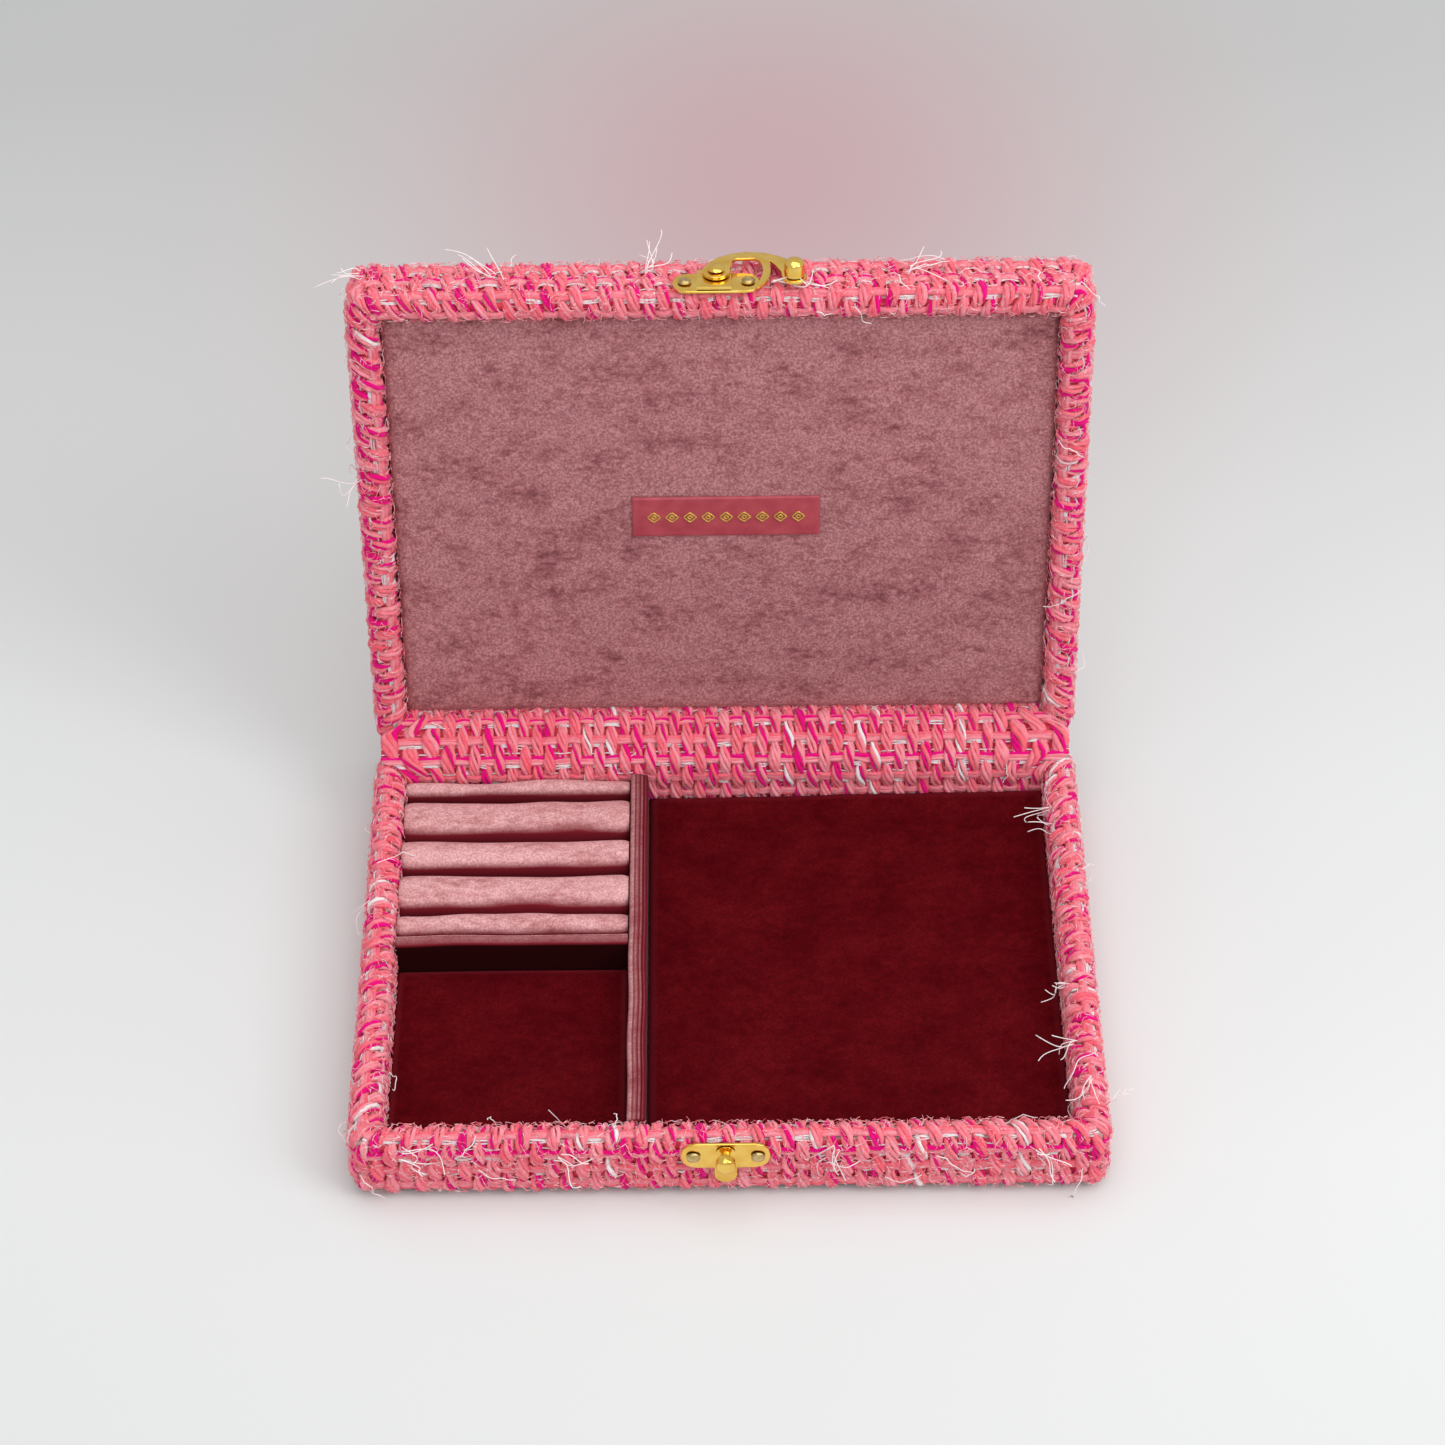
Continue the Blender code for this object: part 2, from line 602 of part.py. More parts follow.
def hook_outline():
    """The hook in its own frame: u to the knob, v up, the pivot at the origin."""
    claw = CLAW_RADIUS
    outer = claw + CLAW_WIDTH
    boss = arc(0.0, 0.0, HOOK_BOSS_RADIUS, 20, -225, 14)
    arch = [(-0.0016, 0.0046), (0.0006, 0.0068), (0.0044, ARCH_TOP - 0.0008), (0.0079, ARCH_TOP),
            (0.0125, ARCH_TOP - 0.0005), (0.0155, ARCH_TOP - 0.0017), (KNOB_U - 0.0028, 0.0064),
            (KNOB_U + 0.0016, 0.0030)]
    knob = arc(KNOB_U, KNOB_V, KNOB_BASE_RADIUS, 30, -180, 10)
    notch = [(KNOB_U - KNOB_BASE_RADIUS - 0.0002, KNOB_V + 0.0024), (0.0159, 0.0024), (outer - 0.0002, 0.0050)]
    claw_outer = [(outer * math.cos(math.radians(a)), outer * math.sin(math.radians(a)))
                  for a in (8, -4, -16, -28)]
    tip = [(claw - 0.0016, -0.0090)]
    claw_inner = [((claw + 0.0009) * math.cos(math.radians(-34)), (claw + 0.0009) * math.sin(math.radians(-34)))]
    claw_inner += [(claw * math.cos(math.radians(a)), claw * math.sin(math.radians(a)))
                   for a in (-22, -10, 2, 12)]
    window = [(claw - 0.0009, WINDOW_TOP - 0.0011), (claw - 0.0023, WINDOW_TOP), (0.0056, WINDOW_TOP),
              (0.0043, WINDOW_TOP - 0.0010), (0.0041, 0.0024)]
    return boss + arch + knob + notch + claw_outer + tip + claw_inner + window


def swing_hook():
    plate = standing_off(0.0, HOOK_BACK, HOOK_FRONT)
    hole = arc(0.0, 0.0, RIVET_RADIUS + GAP, 0, 360, 12)[:-1]
    extrusion("clasp_hook", hook_outline(), plate, GOLD, hook_frame, [hole])
    start = HOOK_FRONT + GAP
    profile = [(0.0, start), (KNOB_RADIUS * 0.8, start), (KNOB_RADIUS, start + GAP)]
    profile += domed(KNOB_RADIUS, start + KNOB_LENGTH * 0.7, KNOB_LENGTH * 0.3)
    turned("hook_knob", (KNOB_U, 0.0, KNOB_V), profile, GOLD, hook_frame)


tray_shell()
tray_inside()
ring_holder()
hinge_cloths()
lid_shell()
lid_inside()
catch()
clasp()
swing_hook()
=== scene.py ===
import json
import math

import bmesh
import bpy
import numpy as np
from mathutils import Matrix, Vector

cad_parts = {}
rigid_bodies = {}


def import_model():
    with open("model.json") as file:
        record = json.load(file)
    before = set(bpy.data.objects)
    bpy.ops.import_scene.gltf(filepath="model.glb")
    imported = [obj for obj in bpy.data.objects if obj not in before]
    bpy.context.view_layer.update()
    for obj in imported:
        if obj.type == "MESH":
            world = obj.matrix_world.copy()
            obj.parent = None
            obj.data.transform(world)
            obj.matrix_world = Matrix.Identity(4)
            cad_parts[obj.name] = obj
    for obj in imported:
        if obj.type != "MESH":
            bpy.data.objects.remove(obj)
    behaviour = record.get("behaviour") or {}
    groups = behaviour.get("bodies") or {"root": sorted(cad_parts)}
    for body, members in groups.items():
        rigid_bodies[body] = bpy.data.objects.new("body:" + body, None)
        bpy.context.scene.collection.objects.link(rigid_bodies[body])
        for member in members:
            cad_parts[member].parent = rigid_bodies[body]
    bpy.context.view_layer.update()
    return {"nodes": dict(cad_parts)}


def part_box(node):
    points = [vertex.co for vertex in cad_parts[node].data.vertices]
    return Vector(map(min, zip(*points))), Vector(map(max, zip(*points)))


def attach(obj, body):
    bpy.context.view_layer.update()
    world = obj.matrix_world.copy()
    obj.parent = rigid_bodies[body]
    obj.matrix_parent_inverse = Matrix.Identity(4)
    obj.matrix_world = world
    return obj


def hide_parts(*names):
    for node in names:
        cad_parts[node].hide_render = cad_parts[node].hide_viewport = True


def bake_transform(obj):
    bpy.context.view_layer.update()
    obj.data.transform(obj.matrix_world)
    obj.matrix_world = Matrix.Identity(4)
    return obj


for leftover in list(bpy.data.objects):
    bpy.data.objects.remove(leftover)
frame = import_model()

# sizes of the box that the covering follows, in metres
boxShape = {"halfX": 0.100, "halfY": 0.075, "trayTop": 0.0220, "lidMouth": 0.00015, "lidTop": 0.02015,
            "wall": 0.0086, "rim": 0.0035, "hinge": (0.0, 0.075, 0.02215), "open": 96.0}
lidPlace = Matrix.Translation(boxShape["hinge"]) @ Matrix.Rotation(-math.radians(boxShape["open"]), 4, "X")


# ---- small helpers for objects and node trees

def keepPiece(name, mesh, material):
    piece = bpy.data.objects.new(name, mesh)
    bpy.context.scene.collection.objects.link(piece)
    mesh.materials.clear()
    mesh.materials.append(material)
    return piece


def meshOf(name, build):
    work = bmesh.new()
    build(work)
    bmesh.ops.remove_doubles(work, verts=work.verts, dist=1e-6)
    bmesh.ops.recalc_face_normals(work, faces=work.faces)
    mesh = bpy.data.meshes.new(name)
    work.to_mesh(mesh)
    work.free()
    mesh.shade_smooth()
    return mesh


def skinLoops(work, loops, closed=False, caps=False, flip=False):
    # quads between rings of points; closed joins the last ring to the first, caps fill the two ends
    for first, second in zip(loops, loops[1:] + (loops[:1] if closed else [])):
        for i in range(len(first)):
            j = (i + 1) % len(first)
            quad = (first[i], first[j], second[j], second[i])
            work.faces.new(quad[::-1] if flip else quad)
    if caps:
        work.faces.new(loops[0])
        work.faces.new(loops[-1])


def slabFaces(work, under, over):
    # two grids of points, one above the other, closed all round
    rims = []
    for grid in (under, over):
        for first, second in zip(grid, grid[1:]):
            for i in range(len(first) - 1):
                work.faces.new((first[i], first[i + 1], second[i + 1], second[i]))
        rims.append(grid[0] + [line[-1] for line in grid[1:]] + grid[-1][-2::-1]
                    + [line[0] for line in grid[-2:0:-1]])
    skinLoops(work, rims)


def feed(tree, socket, value):
    if isinstance(value, bpy.types.NodeSocket):
        tree.links.new(value, socket)
    else:
        socket.default_value = value


def put(tree, kind, settings=None, inputs=None):
    node = tree.nodes.new(kind)
    for key, value in (settings or {}).items():
        setattr(node, key, value)
    for key, value in (inputs or {}).items():
        feed(tree, node.inputs[key], value)
    return node


def result(tree, kind, inputs, settings=None):
    return put(tree, kind, settings, inputs).outputs[0]


def calc(operation, first, second=0.0, third=0.0):
    # the node tree is that of the first socket among the values
    tree = next(value.id_data for value in (first, second, third) if isinstance(value, bpy.types.NodeSocket))
    node = put(tree, "ShaderNodeMath", {"operation": operation})
    for socket, value in zip(node.inputs, (first, second, third)):
        feed(tree, socket, value)
    return node.outputs[0]


def times(first, second):
    return calc("MULTIPLY", first, second)


def plus(first, second):
    return calc("ADD", first, second)


def minus(first, second):
    return calc("SUBTRACT", first, second)


def scaled(value, factor, offset):
    return calc("MULTIPLY_ADD", value, factor, offset)


def between(low, high, amount):
    return scaled(amount, high - low, low)


def vector(tree, x=0.0, y=0.0, z=0.0):
    return result(tree, "ShaderNodeCombineXYZ", {"X": x, "Y": y, "Z": z})


def attribute(tree, name):
    return put(tree, "ShaderNodeAttribute", {"attribute_name": name}).outputs["Fac"]


def sizeTree(name, sizes):
    tree = bpy.data.node_groups.new(name, "GeometryNodeTree")
    tree.interface.new_socket("Geometry", in_out="INPUT", socket_type="NodeSocketGeometry")
    for label, value in sizes.items():
        kind = "NodeSocketInt" if isinstance(value, int) else "NodeSocketFloat"
        tree.interface.new_socket(label, in_out="INPUT", socket_type=kind).default_value = value
    tree.interface.new_socket("Geometry", in_out="OUTPUT", socket_type="NodeSocketGeometry")
    inlet = tree.nodes.new("NodeGroupInput")
    return tree, inlet.outputs


def endTree(tree, geometry, material):
    real = result(tree, "GeometryNodeRealizeInstances", {"Geometry": geometry})
    smooth = result(tree, "GeometryNodeSetShadeSmooth", {"Geometry": real})
    dressed = result(tree, "GeometryNodeSetMaterial", {"Geometry": smooth, "Material": material})
    tree.links.new(dressed, tree.nodes.new("NodeGroupOutput").inputs[0])
    return tree


def bakeTree(name, tree, sizes, source=None):
    host = bpy.data.objects.new(name + "Host", source or bpy.data.meshes.new(name + "Host"))
    bpy.context.scene.collection.objects.link(host)
    modifier = host.modifiers.new("maker", "NODES")
    modifier.node_group = tree
    sockets = {s.name: s.identifier for s in tree.interface.items_tree if s.in_out == "INPUT"}
    for label, value in sizes.items():
        modifier[sockets[label]] = value
    ready = host.evaluated_get(bpy.context.evaluated_depsgraph_get())
    mesh = bpy.data.meshes.new_from_object(ready)
    host.modifiers.remove(modifier)
    bpy.data.objects.remove(host)
    mesh.name = name
    return mesh


# ---- materials

def newMaterial(name, constants):
    material = bpy.data.materials.new(name)
    material.use_nodes = True
    tree = material.node_tree
    shader = tree.nodes["Principled BSDF"]
    for label, value in constants.items():
        shader.inputs[label].default_value = value
    return material, tree, shader


def objectPlace(tree, scale=(1.0, 1.0, 1.0), turn=(0.0, 0.0, 0.0)):
    here = tree.nodes.new("ShaderNodeTexCoord").outputs["Object"]
    return result(tree, "ShaderNodeMapping", {"Vector": here, "Scale": scale, "Rotation": turn})


def noise(tree, place, scale, detail=2.0, roughness=0.5):
    return result(tree, "ShaderNodeTexNoise",
                  {"Vector": place, "Scale": scale, "Detail": detail, "Roughness": roughness})


def ramp(tree, amount, stops, interpolation="LINEAR"):
    node = put(tree, "ShaderNodeValToRGB", inputs={"Fac": amount})
    node.color_ramp.interpolation = interpolation
    points = node.color_ramp.elements
    while len(points) < len(stops):
        points.new(0.5)
    for point, (position, colour) in zip(points, stops):
        point.position = position
        point.color = (*colour, 1.0)
    return node.outputs[0]


def blendColour(tree, amount, first, second, kind="MIX"):
    node = put(tree, "ShaderNodeMix", {"data_type": "RGBA", "blend_type": kind})
    feed(tree, node.inputs[0], amount)
    for socket, value in zip(node.inputs[6:8], (first, second)):
        feed(tree, socket, value if isinstance(value, bpy.types.NodeSocket) else (*value, 1.0))
    return node.outputs[2]


def bump(tree, shader, height, strength, distance):
    normal = result(tree, "ShaderNodeBump", {"Height": height, "Strength": strength, "Distance": distance})
    tree.links.new(normal, shader.inputs["Normal"])


def grainMaterial(name, constants, grain, stops, relief=None, stretch=(1.0, 1.0, 1.0)):
    # grain: scale and detail of the colour's noise; relief: the bump's scale, detail, strength and distance
    made, tree, shader = newMaterial(name, constants)
    place = objectPlace(tree, stretch)
    tree.links.new(ramp(tree, noise(tree, place, *grain), stops), shader.inputs["Base Color"])
    if relief:
        bump(tree, shader, noise(tree, place, *relief[:2]), *relief[2:])
    return made


# the deep tone is no yarn dye but painted shade, for the cloth seen between the yarns
yarnDyes = {"coral": (0.97, 0.115, 0.175), "coralLight": (1.0, 0.350, 0.410), "magenta": (0.86, 0.0, 0.230),
            "white": (0.93, 0.84, 0.85), "deep": (0.55, 0.020, 0.06)}


def yarnMaterial():
    # dye 0 is coral, 0.5 magenta and 1 white; shade is a random number for each strand
    made, tree, shader = newMaterial("tweedYarn", {
        "Roughness": 0.9, "Specular IOR Level": 0.1, "Sheen Weight": 0.12, "Sheen Roughness": 0.5,
        "Sheen Tint": (1.0, 0.75, 0.78, 1.0), "Subsurface Weight": 0.35, "Subsurface Scale": 0.0008,
        "Subsurface Radius": (1.0, 0.45, 0.5)})
    dye = attribute(tree, "dye")
    shade = attribute(tree, "shade")
    place = objectPlace(tree)
    patches = noise(tree, place, 620.0, 4.0, 0.65)
    mixed = scaled(shade, 0.45, times(patches, 0.6))
    coral = ramp(tree, mixed, [(0.25, yarnDyes["coral"]), (0.75, yarnDyes["coralLight"])])
    colour = blendColour(tree, calc("GREATER_THAN", dye, 0.25), coral, yarnDyes["magenta"])
    colour = blendColour(tree, calc("GREATER_THAN", dye, 0.75), colour, yarnDyes["white"])
    tree.links.new(colour, shader.inputs["Base Color"])
    fibres = noise(tree, place, 2400.0, 4.0, 0.7)
    bump(tree, shader, fibres, 0.9, 0.0004)
    return made


def velvetMaterial(name, tones, sheen, crush, grain, shadedFolds=((0.16, 0.010, 0.018), (0.02, 0.0004, 0.0008))):
    # tones run from the crushed pile to the brushed pile; crush stretches the patches across the box; the two
    # fold tones are the painted shade's colours
    made, tree, shader = newMaterial(name, {"Roughness": 0.95, "Specular IOR Level": 0.05,
                                            "Sheen Weight": sheen[0], "Sheen Roughness": sheen[1],
                                            "Sheen Tint": (*sheen[2], 1.0)})
    place = objectPlace(tree, (crush[3], 1.0, 1.0))
    patches = noise(tree, place, crush[0], 5.0, 0.62)
    small = noise(tree, place, crush[0] * 5.0, 3.0, 0.6)
    amount = scaled(small, crush[1], patches)
    middle = 0.5 + 0.5 * crush[1]
    spread = crush[2]
    colour = ramp(tree, amount, [(middle - spread, tones[0]), (middle - spread * 0.25, tones[1]),
                                 (middle + spread, tones[2])])
    fine = noise(tree, objectPlace(tree), grain[0], 2.0, 0.6)
    speck = ramp(tree, fine, [(0.35, (0.0, 0.0, 0.0)), (0.62, (1.0, 1.0, 1.0))])
    colour = blendColour(tree, times(speck, grain[1]), colour, tones[0])
    # painted shade: the colour goes darker where the piece turns away from the light and in its creases,
    # towards near black where it turns away most (on the dark floor pads the first tone is lighter, a painted
    # highlight); the attribute runs from 0 to 1 on each point
    paintedShading = attribute(tree, "paintedShading")
    colour = blendColour(tree, calc("MINIMUM", times(paintedShading, 1.6), 1.0), colour, shadedFolds[0])
    # painted shade: near black where the piece turns away most
    deep = times(calc("MAXIMUM", minus(paintedShading, 0.6), 0.0), 2.5)
    colour = blendColour(tree, deep, colour, shadedFolds[1])
    tree.links.new(colour, shader.inputs["Base Color"])
    bump(tree, shader, scaled(fine, 0.5, patches), 0.35, 0.0006)
    return made


def goldMaterial():
    made = grainMaterial("brightGold", {"Metallic": 1.0, "Roughness": 0.16}, (260.0, 2.0),
                         [(0.3, (0.86, 0.52, 0.09)), (0.7, (0.96, 0.66, 0.17))], (600.0, 1.0, 0.05, 0.0002))
    tree = made.node_tree
    worn = scaled(noise(tree, objectPlace(tree), 900.0, 3.0), 0.16, 0.08)
    tree.links.new(worn, tree.nodes["Principled BSDF"].inputs["Roughness"])
    return made


def satinMaterial():
    made = grainMaterial("labelSatin", {"Roughness": 0.42, "Specular IOR Level": 0.5, "Sheen Weight": 0.25,
                                        "Sheen Roughness": 0.3}, (240.0, 3.0),
                         [(0.3, (0.36, 0.036, 0.058)), (0.7, (0.47, 0.066, 0.088))])
    tree = made.node_tree
    ribs = put(tree, "ShaderNodeTexWave", {"bands_direction": "Z"},
               {"Vector": objectPlace(tree), "Scale": 900.0})
    bump(tree, tree.nodes["Principled BSDF"], ribs.outputs[1], 0.2, 0.0002)
    return made


yarnLook = yarnMaterial()
fuzzLook = grainMaterial("tweedFuzz", {"Roughness": 0.9, "Specular IOR Level": 0.1}, (700.0, 1.0),
                         [(0.38, (1.0, 0.20, 0.25)), (0.52, (1.0, 0.42, 0.46)), (0.64, (0.97, 0.80, 0.82))])
# painted shade: the cloth under the yarns is a dark coral that stands for the shade seen between the yarns
shadedBackingLook = grainMaterial("tweedBackingShade", {"Roughness": 0.95, "Specular IOR Level": 0.1}, (500.0, 3.0),
                            [(0.35, yarnDyes["deep"]), (0.65, (0.80, 0.10, 0.14))],
                            (1800.0, 2.0, 0.6, 0.0003))
threadLook = grainMaterial("looseThread", {"Roughness": 0.8, "Sheen Weight": 0.3}, (300.0, 1.0),
                           [(0.3, (0.88, 0.74, 0.76)), (0.6, (0.95, 0.90, 0.90))])
liningLook = velvetMaterial("roseVelvetLining",
                            ((0.170, 0.050, 0.056), (0.460, 0.185, 0.200), (0.560, 0.255, 0.270)),
                            (0.25, 0.35, (0.95, 0.75, 0.78)), (120.0, 0.90, 0.37, 0.62), (1500.0, 0.66))
rollLook = velvetMaterial("roseVelvetRolls",
                          ((0.280, 0.085, 0.090), (0.670, 0.330, 0.340), (0.830, 0.470, 0.480)),
                          (0.10, 0.35, (1.0, 0.70, 0.74)), (110.0, 0.80, 0.36, 0.5), (1700.0, 0.50))
darkLook = velvetMaterial("darkVelvet",
                          ((0.030, 0.0002, 0.0015), (0.082, 0.0006, 0.003), (0.120, 0.003, 0.006)),
                          (0.0, 0.4, (0.85, 0.10, 0.14)), (80.0, 0.60, 0.50, 0.8), (1300.0, 0.45))
goldLook = goldMaterial()
nailLook = grainMaterial("agedGold", {"Metallic": 1.0, "Roughness": 0.32}, (700.0, 3.0),
                         [(0.35, (0.42, 0.30, 0.12)), (0.7, (0.80, 0.62, 0.28))],
                         (1500.0, 2.0, 0.15, 0.0002))
satinLook = satinMaterial()
stitchLook = grainMaterial("goldThread", {"Roughness": 0.38, "Metallic": 0.55}, (2500.0, 2.0),
                           [(0.3, (0.50, 0.26, 0.05)), (0.7, (0.82, 0.52, 0.14))],
                           (4000.0, 1.0, 0.4, 0.0002))
boardLook, foamLook, feltLook = [
    grainMaterial(name, {"Roughness": roughness}, (scale, 4.0), [(0.3, dark), (0.7, light)],
                  (scale * 3.0, 2.0, 0.3, 0.0003), stretch)
    for name, dark, light, scale, roughness, stretch in (
        ("greyboard", (0.36, 0.32, 0.27), (0.48, 0.44, 0.38), 300.0, 0.92, (1.0, 1.0, 1.0)),
        ("foam", (0.78, 0.74, 0.68), (0.90, 0.87, 0.82), 700.0, 0.95, (1.0, 1.0, 1.0)),
        ("underFelt", (0.09, 0.012, 0.020), (0.15, 0.028, 0.040), 900.0, 0.97, (1.0, 0.4, 1.0)))]
print("materials ready")


# ---- camera, lights and floor

viewShape = {"place": (-0.0006, -0.7702, 0.8261), "down": 43.27, "roll": 0.62, "lens": 101.0}
camera = bpy.data.objects.new("camera", bpy.data.cameras.new("camera"))
camera.data.lens = viewShape["lens"]
camera.data.sensor_width = 36.0
camera.matrix_world = (Matrix.Translation(viewShape["place"])
                       @ Matrix.Rotation(math.radians(90.0 - viewShape["down"]), 4, "X")
                       @ Matrix.Rotation(-math.radians(viewShape["roll"]), 4, "Z"))
bpy.context.scene.collection.objects.link(camera)
bpy.context.scene.camera = camera
bpy.context.scene.view_settings.view_transform = "Standard"

lightSet = {"ceiling": ((0.15, -0.05, 1.50), (0.0, 0.0, 0.0), 1.5, 10.0),
            "right": ((0.95, -0.55, 1.00), (0.0, 0.0, 0.05), 0.7, 7.0),
            "front": ((-0.15, -1.40, 1.15), (0.0, 0.0, 0.02), 1.0, 5.0)}
for lampName, (lampPlace, lampAim, lampSize, lampPower) in lightSet.items():
    lamp = bpy.data.objects.new(lampName, bpy.data.lights.new(lampName, "AREA"))
    lamp.data.size = lampSize
    lamp.data.energy = lampPower
    lamp.location = lampPlace
    lamp.rotation_euler = (Vector(lampPlace) - Vector(lampAim)).to_track_quat("Z", "Y").to_euler()
    bpy.context.scene.collection.objects.link(lamp)
world = bpy.context.scene.world or bpy.data.worlds.new("room")
bpy.context.scene.world = world
world.use_nodes = True
world.node_tree.nodes["Background"].inputs[0].default_value = (1.0, 0.99, 0.985, 1.0)
world.node_tree.nodes["Background"].inputs[1].default_value = 0.60


def paleFloor():
    size = {"radius": 9.0, "sides": 64}

    def build(work):
        ring = []
        for step in range(size["sides"]):
            angle = math.tau * step / size["sides"]
            spot = Vector((math.cos(angle), math.sin(angle), 0.0)) * size["radius"]
            ring.append(work.verts.new(spot))
        work.faces.new(ring)

    made, tree, shader = newMaterial("paleFloor", {"Roughness": 0.8, "Specular IOR Level": 0.2})
    here = put(tree, "ShaderNodeSeparateXYZ", inputs={"Vector": objectPlace(tree)}).outputs
    back = scaled(here[1], 1.0, 0.5)
    # painted shade: the floor is lightest around the box and runs darker towards the front and much darker
    # far behind it
    tone = ramp(tree, back, [(0.0, (0.61, 0.625, 0.625)), (0.22, (0.64, 0.655, 0.655)),
                             (0.44, (0.695, 0.71, 0.71)), (0.62, (0.655, 0.67, 0.67)),
                             (0.95, (0.52, 0.53, 0.53))])
    # painted light: a soft rosy glow, light bounced off the box, painted on the floor behind the open lid
    across = calc("DIVIDE", minus(here[0], 0.02), 0.125)
    deepWay = calc("DIVIDE", minus(here[1], 0.38), 0.15)
    away = plus(calc("POWER", calc("ABSOLUTE", across), 2.0),
                calc("POWER", calc("ABSOLUTE", deepWay), 2.0))
    glow = calc("EXPONENT", times(away, -1.0))
    tone = blendColour(tree, times(glow, 0.86), tone, (0.54, 0.350, 0.375))
    tree.links.new(tone, shader.inputs["Base Color"])
    floor = keepPiece("floor", meshOf("floor", build), made)


paleFloor()
print("camera, lights and floor ready")


# ---- tweed: soft yarns of five strands over and under rows of white thread

tweedShape = {"Yarns": 10, "Rows": 10, "First Yarn": 0, "Strands": 5, "Steps": 4, "Yarn Pitch": 0.00385,
              "Row Pitch": 0.0063, "Strand Radius": 0.00072, "Bead Lift": 0.00056, "Bead Wide": 0.00130,
              "Bead Tall": 0.00066, "Turns": 0.42, "White Radius": 0.00022, "Weft Radius": 0.00078,
              "Weft Lift": 0.00034, "Weft Steps": 3}


def shareOut(index, each):
    # which group an index falls in when each group has this many, and its place in the group
    number = calc("FLOOR", calc("DIVIDE", plus(index, 0.01), each))
    return number, minus(index, times(number, each))


def threadGrid(tree, count, steps):
    # a set of straight curves, and for each point its curve's number and how far along it is
    line = result(tree, "GeometryNodeCurvePrimitiveLine", {"End": (0.0, 1.0, 0.0)})
    each = plus(steps, 1.0)
    cut = result(tree, "GeometryNodeResampleCurve", {"Curve": line, "Count": each})
    spots = result(tree, "GeometryNodePoints", {"Count": count})
    copies = result(tree, "GeometryNodeInstanceOnPoints", {"Points": spots, "Instance": cut})
    real = result(tree, "GeometryNodeRealizeInstances", {"Geometry": copies})
    return real, *shareOut(tree.nodes.new("GeometryNodeInputIndex").outputs[0], each)


def wander(tree, first, second, third, seed):
    # smooth random numbers from -0.5 to 0.5, three at a time
    wave = put(tree, "ShaderNodeTexNoise", {"noise_dimensions": "4D"},
               {"Vector": vector(tree, first, second, third), "W": seed, "Scale": 1.0, "Detail": 1.0})
    parts = put(tree, "ShaderNodeSeparateXYZ", inputs={"Vector": wave.outputs[1]}).outputs
    return [minus(part, 0.5) for part in parts[:3]]


def randomFor(tree, number, seed):
    node = put(tree, "FunctionNodeRandomValue", {"data_type": "FLOAT"}, {"ID": number, "Seed": seed})
    return node.outputs[1]


def thicken(tree, curves, sides, girth, capped):
    ring = result(tree, "GeometryNodeCurvePrimitiveCircle", {"Resolution": sides, "Radius": 1.0})
    return result(tree, "GeometryNodeCurveToMesh",
                  {"Curve": curves, "Profile Curve": ring, "Scale": girth, "Fill Caps": capped})


def tubes(tree, curves, position, radius, dye, shade, sides):
    geometry = result(tree, "GeometryNodeSetPosition",
                      {"Geometry": curves, "Position": vector(tree, *position)})
    for label, value in (("dye", dye), ("shade", shade), ("girth", radius)):
        node = put(tree, "GeometryNodeStoreNamedAttribute", {"data_type": "FLOAT", "domain": "POINT"},
                   {"Geometry": geometry, "Name": label})
        feed(tree, node.inputs["Value"], value)
        geometry = node.outputs[0]
    girth = result(tree, "GeometryNodeInputNamedAttribute", {"Name": "girth"}, {"data_type": "FLOAT"})
    return thicken(tree, geometry, sides, girth, True)


